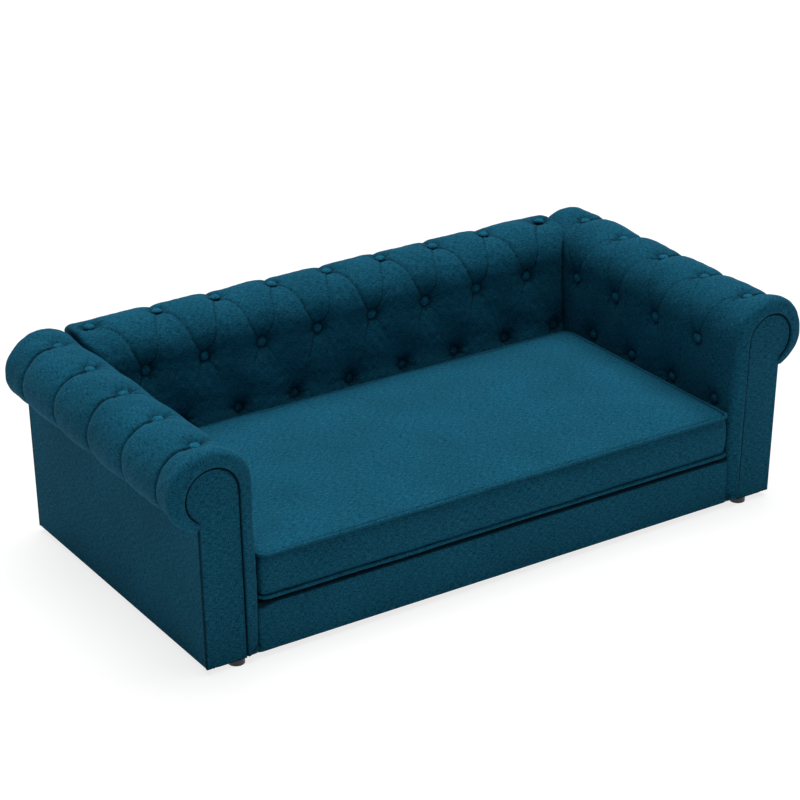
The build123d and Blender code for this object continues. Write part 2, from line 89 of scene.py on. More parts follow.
HEAD_U = 3.8 * MM
HEAD_Z = 242.8 * MM
HEAD = 36 * MM
HEAD_SWEEP = 242
NECK = 214 * MM

# The covered buttons and their rows

BUTTON = 7.5 * MM
ARM_PITCH = 92 * MM
ARM_FIRST = -204.5 * MM
ARM_ROW_MIDDLE = 225 * MM
ARM_ROW_LOW = 150 * MM
BACK_PITCH = 90.7 * MM
BACK_ROW_MIDDLE = 234 * MM
BACK_ROW_LOW = 148 * MM
BACK_LAST_PLEAT = 350 * MM
ARM_BUTTON_LIFT = 2.4 * MM
BACK_BUTTON_LIFT = 3.4 * MM

# Pits under the buttons: depth, spread, and how much distances count down the face

ARM_TOP_PIT = (10.4 * MM, 11 * MM, 0.6)
ARM_MIDDLE_PIT = (9 * MM, 12 * MM, 1)
ARM_LOW_PIT = (9 * MM, 11 * MM, 1)
BACK_TOP_PIT = (9 * MM, 11 * MM, 0.55)
BACK_MIDDLE_PIT = (14.5 * MM, 16 * MM, 1)
BACK_LOW_PIT = (14.5 * MM, 15 * MM, 1)

# Creases: depth at the start, in the middle and at the end, then the width

ARM_PLEAT = (9 * MM, 2.6 * MM, 4.5 * MM, 4.5 * MM)
ARM_SLIT = (9 * MM, 11 * MM, 1 * MM, 9 * MM)
ARM_LOW_CREASE = (3 * MM, 1 * MM, 0, 4 * MM)
BACK_PLEAT = (7 * MM, 3.6 * MM, 4.5 * MM, 5 * MM)
BACK_LOW_CREASE = (6 * MM, 3.2 * MM, 2 * MM, 4 * MM)

# Creases between the rows, as multiples of each one's own depth

ARM_UPPER_SHARES = (4.0, 1.0, 5)
ARM_LOWER_SHARES = (3.0, 0.2, 1.5)
BACK_UPPER_SHARES = (6.5, 3.0, 6)
BACK_LOWER_SHARES = (5.0, 0.5, 2.5)

# The cushion: half its length, its front and rear, its corners, floor, seams and piping, and
# how many of its points are worked on at a time

CUSHION_HALF = 374 * MM
CUSHION_FRONT = -248.4 * MM
CUSHION_REAR = 115.6 * MM
CUSHION_CORNER = 9 * MM
CUSHION_FLOOR = 77.7 * MM
SEAM_OUT = 0.7 * MM
SEAM_LOW = 83 * MM
SEAM_HIGH = 141.8 * MM
PIPING = 2.4 * MM
BLOCK = 4000


# Smooth number tools


def smooth(t):
    """Smooth step: 0 below 0, 1 above 1, and 3t^2 - 2t^3 between."""
    t = np.clip(t, 0, 1)
    return t * t * (3 - 2 * t)


def bell(x):
    """A bell: e to the power of minus x squared."""
    return np.exp(-(x**2))


def ripple(a, b, wavelength, seed, waves=9):
    """Sum of sine waves in seeded directions over two coordinates, scaled to about -1 to 1."""
    rng = np.random.default_rng(seed)
    total = np.zeros(np.broadcast(a, b).shape)
    for angle, phase, stretch in rng.uniform((0, 0, 0.6), (math.pi, 2 * math.pi, 1.6), (waves, 3)):
        pitch = 2 * math.pi / (wavelength * stretch)
        total += np.sin((a * math.cos(angle) + b * math.sin(angle)) * pitch + phase)
    return total / math.sqrt(waves)


def path_lengths(points):
    """Length along a line of points up to each of them: the running sum of its steps."""
    return np.concatenate([[0], np.cumsum(np.linalg.norm(np.diff(points, axis=0), axis=1))])


def spaced(low, high, coarse, fine, centres, reach=8 * MM):
    """Steps from low to high, fine within reach of the centres and coarse between them.

    The wanted density is summed along a fine probe line, and places are read off that sum at
    equal intervals.
    """
    probe = np.linspace(low, high, 4000)
    near = np.min(np.abs(probe[:, None] - np.asarray(centres)[None, :]), axis=1)
    density = 1 / (fine + (coarse - fine) * smooth((near - reach) / (0.6 * reach)))
    total = np.concatenate([[0], np.cumsum((density[1:] + density[:-1]) / 2 * np.diff(probe))])
    count = int(math.ceil(total[-1])) + 1
    return np.interp(np.linspace(0, total[-1], count), total, probe)


# Meshes from grids


def make_mesh(name, points, faces, uv, body, slot_name, replaced, painted_shading=None):
    """A smooth mesh of quads from points, corner indices and one UV pair per corner.

    Painted shading is kept per point for the cloth's colour: painted shade from 1, darkest in a
    crease, pit or seam, down to 0 on the plain cover, and below 0 a painted highlight.
    """
    mesh = bpy.data.meshes.new(name)
    mesh.vertices.add(len(points))
    mesh.vertices.foreach_set("co", np.ascontiguousarray(points, np.float32).ravel())
    mesh.loops.add(faces.size)
    mesh.loops.foreach_set("vertex_index", faces.ravel().astype(np.int32))
    mesh.polygons.add(len(faces))
    mesh.polygons.foreach_set("loop_start", np.arange(0, faces.size, 4, dtype=np.int32))
    mesh.update(calc_edges=True)
    layer = mesh.uv_layers.new(name="Cloth")
    layer.uv.foreach_set("vector", np.ascontiguousarray(uv, np.float32).ravel())
    mesh.polygons.foreach_set("use_smooth", np.ones(len(faces), bool))
    # Painted shade and highlight of each point, read by the cloth's colour
    if painted_shading is not None:
        kept = mesh.attributes.new("PaintedShading", "FLOAT", "POINT")
        kept.data.foreach_set("value", np.ascontiguousarray(painted_shading, np.float32).ravel())
    mesh.validate()
    piece = bpy.data.objects.new(name, mesh)
    bpy.context.collection.objects.link(piece)
    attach(piece, body)
    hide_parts(*replaced)
    return piece


def cells(grid):
    """The four corners of each cell of a grid, in order round the cell."""
    return np.stack([grid[:-1, :-1], grid[1:, :-1], grid[1:, 1:], grid[:-1, 1:]], 2)


def quads(rows, columns, around=False, along=False):
    """Corner indices of a grid, closed round its columns or along its rows if asked."""
    index = np.arange(rows * columns).reshape(rows, columns)
    if along:
        index = np.vstack([index, index[:1]])
    if around:
        index = np.hstack([index, index[:, :1]])
    return cells(index).reshape(-1, 4)


def sheet(name, grid, uv, replaced, flip=False, painted_shading=None):
    """A sheet of the sofa's fabric from a grid of points, turned over if flip is set."""
    faces = quads(*grid.shape[:2])
    if flip:
        faces = faces[:, ::-1]
    flat_uv = uv.reshape(-1, 2)[faces]
    return make_mesh(name, grid.reshape(-1, 3), faces, flat_uv, "root", "teal_fabric", replaced, painted_shading)


def joined(parts):
    """Several (points, faces, uv) sets put into one."""
    points, faces, uvs, start = [], [], [], 0
    for p, f, t in parts:
        points.append(p)
        faces.append(f + start)
        uvs.append(t)
        start += len(p)
    return np.concatenate(points), np.concatenate(faces), np.concatenate(uvs)


# The padded walls


class Section:
    """The line of a wall's cover: the padded face, the roll about its axis and the tuck.

    The face is straight. The roll is an arc that runs on as a quadratic curve to the tuck. The
    whole line leans outwards with its height. Normals are the line's tangents turned by a
    quarter, evened out over a few millimetres.
    """

    def __init__(self, foot, face_low, face_high, shift, middle, radius, arc, tuck, lean):
        angles = np.linspace(0, math.radians(arc), 160)
        roll = np.column_stack([shift - radius * np.cos(angles), middle + radius * np.sin(angles)])
        way = np.array([math.sin(angles[-1]), math.cos(angles[-1])])
        t = np.linspace(0, 1, 40)[1:, None]
        tuck = np.array(tuck)
        pull = np.linalg.norm(tuck - roll[-1]) * 0.42
        under = (1 - t) ** 2 * roll[-1] + 2 * t * (1 - t) * (roll[-1] + way * pull) + t**2 * tuck
        face = np.linspace((-face_low, foot), (-face_high, middle), 60)[:-1]
        hem = [[-face_low + 5 * MM, foot + 0.6 * MM], [-face_low + 1.4 * MM, foot + 0.3 * MM]]
        end = tuck + np.array([[-3.5 * MM, 1.5 * MM]])
        line = np.concatenate([hem, face, roll, under, end])
        line[:, 0] += lean * np.clip((line[:, 1] - DECK) / (middle - DECK), 0, 1.05)
        s = path_lengths(line)
        self.roll_start = s[len(hem) + len(face)]
        self.length = s[-1]
        self.s = np.linspace(0, s[-1], 900)
        self.u = np.interp(self.s, s, line[:, 0])
        self.z = np.interp(self.s, s, line[:, 1])
        kernel = np.hanning(13) / np.hanning(13).sum()
        slopes = [np.pad(np.gradient(values), 6, mode="edge") for values in (self.u, self.z)]
        along_u, along_z = (np.convolve(slope, kernel, "valid") for slope in slopes)
        size = np.hypot(along_u, along_z)
        self.nu = -along_z / size
        self.nz = along_u / size
        self.middle = middle

    def at(self, s):
        """Points (u, z) and outward normals at places s."""
        return tuple(np.interp(s, self.s, values) for values in (self.u, self.z, self.nu, self.nz))

    def s_of_height(self, z):
        """s on the padded face at a height."""
        face = (self.s > 8 * MM) & (self.s < self.roll_start)
        return float(np.interp(z, self.z[face], self.s[face]))

    def s_of_reach(self, u):
        """s on the top of the roll at a reach u."""
        top = (self.s > self.roll_start) & (self.nz > 0)
        return float(np.interp(u, self.u[top], self.s[top]))


ARM = Section(
    foot=FOOT, face_low=56 * MM, face_high=56 * MM, shift=-2 * MM, middle=ROLL_HEIGHT,
    radius=54 * MM, arc=188, tuck=(21.5 * MM, 203 * MM), lean=4 * MM,
)
BACK = Section(
    foot=DECK, face_low=74.8 * MM, face_high=60 * MM, shift=-4 * MM, middle=ROLL_HEIGHT - 2 * MM,
    radius=56 * MM, arc=205, tuck=(21 * MM, 191.4 * MM), lean=0,
)


def cloth_uv(grid, s):
    """Cloth coordinates of a cover: the mean path across its rows, and the place along its section."""
    steps = np.linalg.norm(np.diff(grid, axis=0), axis=-1).mean(1)
    across = np.concatenate([[0], np.cumsum(steps)])
    return np.stack(np.broadcast_arrays(across[:, None], s[None]), -1)


def pit_depths(w, s, buttons):
    """Depth of the pits: a steep funnel beside each button in a wider, softer hollow.

    The funnel falls off exponentially from the button's edge, and the hollow by a power of the
    distance over its spread. Down the face, distances count by the last value of the button's
    row, so that a roll's hollow opens wider there. Painted shade is also given for each pit,
    darkest at the button's edge, where the pit is deepest.
    """
    edge = 6 * MM
    funnel, funnel_share = 4 * MM, 0.42
    # Reach and strength of the shade painted round each button
    dark, painted_shade_share = 5.5 * MM, 0.75
    depths, painted_shadings = [], []
    for bw, bs, depth, spread, opened in buttons:
        ds = s - bs
        wide = np.maximum(np.hypot(w - bw, np.where(ds < 0, ds * opened, ds)) - edge, 0)
        near = np.maximum(np.hypot(w - bw, ds) - edge, 0)
        steep = funnel_share * np.exp(-near / funnel)
        soft = (1 - funnel_share) * np.exp(-((wide / spread) ** 1.15))
        depths.append(depth * (steep + soft))
        painted_shadings.append(painted_shade_share * np.exp(-((near / dark) ** 1.3)))
    return depths, painted_shadings


def crease_depths(w, s, creases):
    """Depth of the creases: each is a line with sharp sides, bent by a sine, that may fade.

    Its depth runs by smooth steps from its first value through the middle one to its last.
    Across the line, a sharp exponential is added to a wider bell. Painted shade along each
    crease is a narrow bell, darker where the crease is deeper.
    """
    sharp_share, sharp_width_share, bell_width_share = 0.6, 0.42, 2
    # Strength and width of the shade painted into each crease
    painted_shade_share, painted_shade_width_share, darkest = 0.95, 0.34, 4.6 * MM
    depths, painted_shadings = [], []
    for w0, s0, w1, s1, deep0, deep_mid, deep1, width, bend in creases:
        length = math.hypot(w1 - w0, s1 - s0)
        dw = (w1 - w0) / length
        ds = (s1 - s0) / length
        along = (w - w0) * dw + (s - s0) * ds
        t = np.clip(along / length, 0, 1)
        bow = bend * np.sin(2 * math.pi * t) * (1 - t) ** 0.3
        aside = (w - w0) * ds - (s - s0) * dw - bow
        beyond = np.maximum(np.maximum(-along, along - length), 0)
        away = np.hypot(aside, beyond)
        first = deep0 + (deep_mid - deep0) * smooth(2 * t)
        deep = np.where(t < 0.5, first, deep_mid + (deep1 - deep_mid) * smooth(2 * t - 1))
        sharp = sharp_share * np.exp(-away / (sharp_width_share * width))
        soft = (1 - sharp_share) * bell(away / (bell_width_share * width))
        depths.append(deep * (sharp + soft))
        painted_shadings.append(np.clip(deep / darkest, 0, 1) * painted_shade_share * bell(away / (painted_shade_width_share * width)))
    return depths, painted_shadings


def laps(w, s, lines):
    """Small steps where one side of a pleat laps over the other.

    Each is a steep tanh across its line, let down exponentially to both sides.
    """
    begin, fade = 8 * MM, 25 * MM
    edge, reach = 0.9 * MM, 9 * MM
    total = np.zeros_like(w + s)
    for w0, s0, s1, step in lines:
        aside = w - w0
        inside = smooth((s - s0) / begin) * smooth((s1 - s) / fade)
        total += step * np.tanh(aside / edge) * np.exp(-np.abs(aside) / reach) * inside
    return total


def puckers(w, s, buttons, seed, height):
    """Small folds that run out from each button like spokes: two cosines of the angle in a ring."""
    ring, band = 12 * MM, 6.5 * MM
    rng = np.random.default_rng(seed)
    total = np.zeros_like(w + s)
    for bw, bs, *_ in buttons:
        away = np.hypot(w - bw, s - bs)
        angle = np.arctan2(s - bs, w - bw)
        spokes, phase, tall = rng.integers(7, 12), rng.uniform(0, 6.3), rng.uniform(0.6, 1.2)
        wave = np.cos(spokes * angle + phase) + 0.6 * np.cos((spokes // 2 + 1) * angle + 2 * phase)
        total += height * tall * wave * bell((away - ring) / band)
    return total


def tufted_height(w, s, buttons, creases, lap_lines, seed, swell):
    """Height of a tufted cover over its section, and the shade painted into its pits and creases.

    The height is its swell less the hollows, plus laps, puckers and two soft ripples. Pits and
    creases are joined smoothly: the power mean of all their depths. The painted shade is the
    darkest of the shades painted for each pit and crease.
    """
    power = 3.2
    pits, pit_painted_shade = pit_depths(w, s, buttons)
    lines, crease_painted_shade = crease_depths(w, s, creases)
    hollow = sum((depth / MM) ** power for depth in pits + lines) ** (1 / power) * MM
    # Painted shade: the darkest of the pits' and creases' painted shades
    painted_shading = np.maximum(np.max(pit_painted_shade, 0), np.max(crease_painted_shade, 0))
    height = swell - hollow + laps(w, s, lap_lines)
    height += puckers(w, s, buttons, seed, 0.55 * MM)
    height += 0.7 * MM * ripple(w, s, 70 * MM, seed + 1) + 0.25 * MM * ripple(w, s, 22 * MM, seed + 2)
    return height, painted_shading


def button_mesh(seats, seed):
    """Covered buttons: domes turned about their normals, with a rolled rim and a slight tilt.

    Each is a set of rings, a radius times the cosine and sine of a turn, at its own rise, and a
    fan to the tip. A painted highlight lightens the top of each dome, and painted shade is
    darkest under the rim.
    """
    tip_rise = 4.9 * MM
    radii = np.array([0.22, 0.45, 0.66, 0.83, 0.94, 1.0, 0.985, 0.93, 0.8]) * BUTTON
    rises = np.array([4.8, 4.4, 3.8, 2.9, 2.0, 0.9, 0.2, -0.4, -2.6]) * MM
    # Painted highlight on each dome (below 0) and painted shade under its rim (above 0)
    dome_highlight_and_rim_shade = np.array([-0.55, -0.55, -0.5, -0.45, -0.35, -0.2, 0.1, 0.5, 0.8])
    turn = np.linspace(0, 2 * math.pi, 28, endpoint=False)
    around = np.arange(0, len(turn), 2)
    tip = len(radii) * len(turn)
    fan = np.stack([0 * around + tip, around, around + 1, (around + 2) % len(turn)], -1)
    faces = np.concatenate([quads(len(radii), len(turn), around=True), fan])
    circle = np.stack([np.cos(turn), np.sin(turn)], -1)
    flat = np.concatenate([(radii[:, None, None] * circle).reshape(-1, 2), [[0, 0]]])
    rng = np.random.default_rng(seed)
    parts = []
    for place, normal in seats:
        tilt = rng.normal(0, 0.05, 3)
        axis = normal + tilt - normal * np.dot(tilt, normal)
        axis /= np.linalg.norm(axis)
        helper = np.array([0, 0, 1.0]) if abs(axis[2]) < 0.8 else np.array([0, 1.0, 0])
        first = np.cross(helper, axis)
        first /= np.linalg.norm(first)
        second = np.cross(axis, first)
        ring = circle @ np.array([first, second])
        body = place + radii[:, None, None] * ring + rises[:, None, None] * axis
        points = np.concatenate([body.reshape(-1, 3), [place + tip_rise * axis]])
        uv = flat + rng.uniform(0, 0.5, 2)
        parts.append((points, faces, uv[faces].reshape(-1, 2)))
    painted_shading = np.append(np.repeat(dome_highlight_and_rim_shade, len(turn)), dome_highlight_and_rim_shade[0])
    return joined(parts), np.tile(painted_shading, len(seats))


def rounded_ends(low, high, low_round, high_round, body_w):
    """Places along a wall with fine steps round its ends, and how far each is drawn in.

    Each end is a quarter turn: the place follows its cosine and the draw its sine.
    """
    turn = np.linspace(0, math.pi / 2, 10)[:-1]
    first = low + low_round * (1 - np.cos(turn))
    last = high - high_round * (1 - np.cos(turn[::-1]))
    inside = body_w[(body_w > low + low_round) & (body_w < high - high_round)]
    quarter = 1 - np.sin(turn)
    drawn = np.concatenate([low_round * quarter, np.zeros(len(inside)), high_round * quarter[::-1]])
    return np.concatenate([first, inside, last]), drawn


def leg_inner(z):
    """Inner side of the facing's leg at a height: it runs outwards a little as it rises."""
    return -38.2 * MM + 5.5 * MM * np.clip(z / HEAD_Z, 0, 1)


def leg_outer(z):
    """Outer side of the facing's leg, and of the side panel beside it, in a straight line."""
    return 19 * MM + 4.6 * MM * np.clip((z - FOOT) / (NECK - FOOT), 0, 1)


def keyhole_at(s, section):
    """The facing's outline beside each place s: its leg, then round its head to the neck."""
    over = section.length - section.roll_start
    turn = np.clip((s - section.roll_start) / over, 0, 1) * math.radians(HEAD_SWEEP)
    u = HEAD_U - HEAD * np.cos(turn)
    z = HEAD_Z + HEAD * np.sin(turn)
    up = np.clip(s / section.roll_start, 0, 1)
    low_z = FOOT + up * (HEAD_Z - FOOT)
    leg = s < section.roll_start
    return np.where(leg, leg_inner(low_z), u), np.where(leg, low_z, z)


def scaled(shares, depth):
    """The depths of a crease from its shares of one depth."""
    return tuple(share * depth for share in shares)


def arm_tufts(seed):
    """Buttons and creases of an arm's cover, as places w and s.

    Rows of five, four and five buttons stand half a pitch apart. A pleat runs over the roll
    from each upper button, with a slit beside it, and bent creases join the rows.
    """
    rng = np.random.default_rng(seed)
    tops = ARM_FIRST + ARM_PITCH * np.arange(5)
    betweens = tops[:-1] + ARM_PITCH / 2
    top_s = ARM.s_of_reach(0)
    mid_s = ARM.s_of_height(ARM_ROW_MIDDLE)
    low_s = ARM.s_of_height(ARM_ROW_LOW)
    buttons = [(w, top_s, *ARM_TOP_PIT) for w in tops]
    buttons += [(w, mid_s, *ARM_MIDDLE_PIT) for w in betweens]
    buttons += [(w, low_s, *ARM_LOW_PIT) for w in tops]
    creases, lines = [], []
    for w in tops:
        drift = rng.uniform(-2.5, 2.5) * MM
        creases.append((w, top_s, w + drift, ARM.length, *ARM_PLEAT, 0))
        creases.append((w - 3 * MM, top_s + 16 * MM, w + 6 * MM, top_s - 32 * MM, *ARM_SLIT, 0))
        lines.append((w, top_s + 4 * MM, ARM.length, rng.uniform(0.7, 1.2) * MM))
        lines.append((w + 2 * MM, top_s - 30 * MM, top_s + 30 * MM, -2.4 * MM))
        creases.append((w, low_s, w, low_s - 26 * MM, *ARM_LOW_CREASE, 0))
    for i, w in enumerate(betweens):
        for top in (tops[i], tops[i + 1]):
            bend = rng.uniform(1, 3) * MM * np.sign(top - w)
            deep = rng.uniform(0.6, 1.2) * MM
            creases.append((w, mid_s, top, top_s, *scaled(ARM_UPPER_SHARES, deep), 4 * MM, bend))
            creases.append((w, mid_s, top, low_s, *scaled(ARM_LOWER_SHARES, deep), 4 * MM, -bend))
    return buttons, creases, lines


def arm_end(row, s, way, depth):
    """The pad round a facing, from an end row of the cover in to the keyhole's outline.

    Each step moves a share of the way to the outline and bulges out by its own amount, with a
    gather that is a sine along the section.
    """
    step_shares = np.array([0.14, 0.32, 0.52, 0.68, 0.78, 0.845, 0.88, 0.895, 1.06])
    bulges = np.array([0.9, 1.5, 1.7, 1.5, 0.9, 0.1, -1.6, -4.2, -4.6]) * depth * MM
    key_u, key_z = keyhole_at(s, ARM)
    around = smooth((s - ARM.roll_start + 30 * MM) / (30 * MM))
    gather = 0.45 * MM * np.sin(s / (4.2 * MM) + 2 * np.sin(s / (19 * MM))) * around
    rows = []
    for t, bulge in zip(step_shares, bulges):
        u = row[:, 0] + (key_u - row[:, 0]) * t
        z = row[:, 2] + (key_z - row[:, 2]) * t
        rows.append(np.stack([u, row[:, 1] + way * (bulge + gather * t**2 * (1.1 - t) * 3), z], -1))
    return np.array(rows)


def arm_cover(side, seed):
    """An arm's tufted cover with its puffs, flare, rounded ends and the pad round the facing.

    Each point is the section's point, moved along its normal by the tufted height, a puff that
    is a power of a cosine between the pleats, and a flare towards the front.
    """
    swell, puff_height, flare_out = 0.8 * MM, 2.1 * MM, 5.5 * MM
    front_round, rear_round = 12 * MM, 13 * MM
    buttons, creases, lines = arm_tufts(seed)
    centres_w = sorted({b[0] for b in buttons})
    centres_s = sorted({b[1] for b in buttons})
    body_w = spaced(ARM_FRONT, ARM_REAR, 1.9 * MM, 1.3 * MM, centres_w)
    w, drawn = rounded_ends(ARM_FRONT, ARM_REAR, front_round, rear_round, body_w)
    s = spaced(0, ARM.length, 2.0 * MM, 1.4 * MM, centres_s)
    W, S = np.meshgrid(w, s, indexing="ij")
    u, z, nu, nz = ARM.at(S)
    height, painted_shading = tufted_height(W, S, buttons, creases, lines, seed, swell)
    puff = np.abs(np.cos(math.pi * (W - ARM_FIRST - ARM_PITCH / 2) / ARM_PITCH)) ** 0.7
    puff *= 1 - 0.9 * smooth((W - 168 * MM) / (24 * MM))
    puff *= (0.15 + 0.85 * smooth(nu * 1.6)) * smooth((S - ARM.roll_start) / (40 * MM))
    over = smooth((S - ARM.roll_start) / (80 * MM))
    flare = flare_out * np.exp(-((W - ARM_FRONT) / (24 * MM)) ** 1.3) * (0.35 + 0.65 * over)
    fade = smooth(S / (12 * MM)) * smooth((ARM.length - S) / (5 * MM))
    low_rear = np.where(W > 0, 0.35 + 0.65 * smooth((S - 60 * MM) / (40 * MM)), 1)
    height += puff_height * puff
    height = height * fade + flare * smooth(S / (60 * MM)) - drawn[:, None] * low_rear
    body = np.stack([u + nu * height, W, z + nz * height], -1)
    front = arm_end(body[0], s, -1, 1.0)
    rear = arm_end(body[-1], s, 1, 0.4)
    grid = np.concatenate([front[::-1], body, rear])
    # Shade painted into the groove where the arm's pad turns in to the keyhole facing
    rim_painted_shade = [0, 0, 0, 0, 0, 0.3, 0.85, 1, 1]
    rim = np.repeat(rim_painted_shade, len(s)).reshape(len(rim_painted_shade), -1)
    painted_shading = np.concatenate([rim[::-1], painted_shading, rim])
    grid[..., 0] = side * (ARM_AXIS + grid[..., 0])
    name = "right" if side > 0 else "left"
    soft = [f"{name}_arm_tufted_cover", f"{name}_arm_foam"]
    cover = sheet(f"{name}_tufted_arm", grid, cloth_uv(grid, s), soft, flip=side > 0, painted_shading=painted_shading)
    seats = []
    for bw, bs, depth, *_ in buttons:
        bu, bz, bnu, bnz = ARM.at(np.array(bs))
        depth -= ARM_BUTTON_LIFT
        place = np.array([side * (ARM_AXIS + bu - bnu * depth), bw, bz - bnz * depth])
        seats.append((place, np.array([side * bnu, 0, bnz])))
    parts, painted_shading = button_mesh(seats, seed + 7)
    covered = [f"{name}_arm_buttons"]
    make_mesh(f"{name}_arm_covered_buttons", *parts, "root", "teal_fabric", covered, painted_shading)


def back_tufts(seed):
    """Buttons and creases of the back's cover: diamonds below the roll, pleats over it.

    Rows of nine, eight and nine buttons stand half a pitch apart, and bent creases join them.
    """
    rng = np.random.default_rng(seed)
    tops = (np.arange(9) - 4) * BACK_PITCH
    betweens = (np.arange(8) - 3.5) * BACK_PITCH
    top_s = BACK.s_of_reach(-4 * MM)
    mid_s = BACK.s_of_height(BACK_ROW_MIDDLE)
    low_s = BACK.s_of_height(BACK_ROW_LOW)
    buttons = [(w, top_s, *BACK_TOP_PIT) for w in tops]
    buttons += [(w, mid_s, *BACK_MIDDLE_PIT) for w in betweens]
    buttons += [(w, low_s, *BACK_LOW_PIT) for w in tops]
    creases, lines = [], []
    for w in tops:
        drift = rng.uniform(-2, 2) * MM
        if abs(w) < BACK_LAST_PLEAT:
            creases.append((w, top_s, w + drift, BACK.length, *BACK_PLEAT, 0))
            step = rng.choice([-1, 1]) * rng.uniform(0.5, 1.1) * MM
            lines.append((w, top_s + 4 * MM, BACK.length, step))
        creases.append((w, low_s, w + drift, 10 * MM, *BACK_LOW_CREASE, 0))
    for i, w in enumerate(betweens):
        for top in (tops[i], tops[i + 1]):
            bend = rng.uniform(2.5, 5) * MM * np.sign(top - w)
            deep = rng.uniform(0.75, 1.2) * (1.15 if top > w else 0.8) * MM
            creases.append((w, mid_s, top, top_s, *scaled(BACK_UPPER_SHARES, deep), 3.6 * MM, bend))
            creases.append((w, mid_s, top, low_s, *scaled(BACK_LOWER_SHARES, deep), 4 * MM, -bend))
    return buttons, creases, lines


def back_spread(w, z):
    """How far the back's cover spreads outwards over the arms near the top of its ends.

    It is the product of a smooth step of the height and one of the place along the back.
    """
    high = smooth((z - 254 * MM) / (38 * MM))
    near_end = smooth((np.abs(w) - 340 * MM) / (38 * MM))
    return 18 * MM * high * near_end * np.sign(w)


def back_end(row, s, way):
    """The closed end of the back's cover, gathered from its end row to the axis of its roll.

    Each ring moves a share of the way to the axis, with a gather that is a sine along the
    section, and the spread over the arm goes as it nears the axis.
    """
    rings = ((0.12, 0.6), (0.3, 0.9), (0.5, 0.9), (0.7, 0.8), (0.86, 0.7), (1.0, 0.7))
    drawn_in = 0.4 * MM
    gather = 0.8 * MM * np.sin(s / (5.2 * MM) + 2 * np.sin(s / (21 * MM)))
    over = smooth((s - BACK.roll_start + 40 * MM) / (60 * MM))
    low = np.minimum(row[:, 2], BACK.middle)
    spread = np.maximum(np.abs(row[:, 1]) - BACK_END, 0)
    rows = []
    for t, bulge in rings:
        out = bulge * MM * over + gather * t * (1 - t) * 2 - drawn_in - spread * t
        z = row[:, 2] + (low - row[:, 2]) * t
        rows.append(np.stack([row[:, 0] * (1 - t), row[:, 1] + way * out, z], -1))
    return np.array(rows)


def back_cover(seed):
    """The back's tufted cover, with its ends rounded over and gathered towards their middle.

    Each point is the section's point, moved along its normal by the tufted height and a bell
    that fills the lower face.
    """
    swell, low_fill, end_round = 1.2 * MM, 4.6 * MM, 8 * MM
    buttons, creases, lines = back_tufts(seed)
    centres_w = sorted({b[0] for b in buttons})
    centres_s = sorted({b[1] for b in buttons})
    body_w = spaced(-BACK_END, BACK_END, 2.3 * MM, 1.5 * MM, centres_w)
    w, drawn = rounded_ends(-BACK_END, BACK_END, end_round, end_round, body_w)
    s = spaced(0, BACK.length, 2.0 * MM, 1.5 * MM, centres_s)
    W, S = np.meshgrid(w, s, indexing="ij")
    u, z, nu, nz = BACK.at(S)
    height, painted_shading = tufted_height(W, S, buttons, creases, lines, seed, swell)
    height += low_fill * bell((z - 132 * MM) / (24 * MM)) * (nu < 0)
    fade = smooth(S / (12 * MM)) * smooth((BACK.length - S) / (6 * MM))
    low_rear = smooth((S - BACK.length + 95 * MM) / (45 * MM))
    height = height * fade - drawn[:, None] * (1 - 0.85 * low_rear)
    body = np.stack([u + nu * height, W + back_spread(W, z), z + nz * height], -1)
    first = back_end(body[0], s, -1)
    last = back_end(body[-1], s, 1)
    grid = np.concatenate([first[::-1], body, last])
    placed = np.stack([-grid[..., 1], BACK_AXIS + grid[..., 0], grid[..., 2]], -1)
    plain = np.zeros(first.shape[:2])
    painted_shading = np.concatenate([plain, painted_shading, plain])
    soft = ["back_tufted_cover", "back_foam"]
    cover = sheet("tufted_back", placed, cloth_uv(grid, s), soft, flip=True, painted_shading=painted_shading)
    seats = []
    for bw, bs, depth, *_ in buttons:
        bu, bz, bnu, bnz = BACK.at(np.array(bs))
        depth -= BACK_BUTTON_LIFT
        place = np.array([-bw - back_spread(bw, bz), BACK_AXIS + bu - bnu * depth, bz - bnz * depth])
        seats.append((place, np.array([0, bnu, bnz])))
    parts, painted_shading = button_mesh(seats, seed + 7)
    make_mesh("back_covered_buttons", *parts, "root", "teal_fabric", ["back_buttons"], painted_shading)


# Flat covers


def panel_height(edge, radius):
    """Height of a covered board: a quarter round near its edge, flat within."""
    t = np.clip(edge / radius, 0, 1)
    return radius * np.sqrt(np.maximum(1 - (1 - t) ** 2, 0))


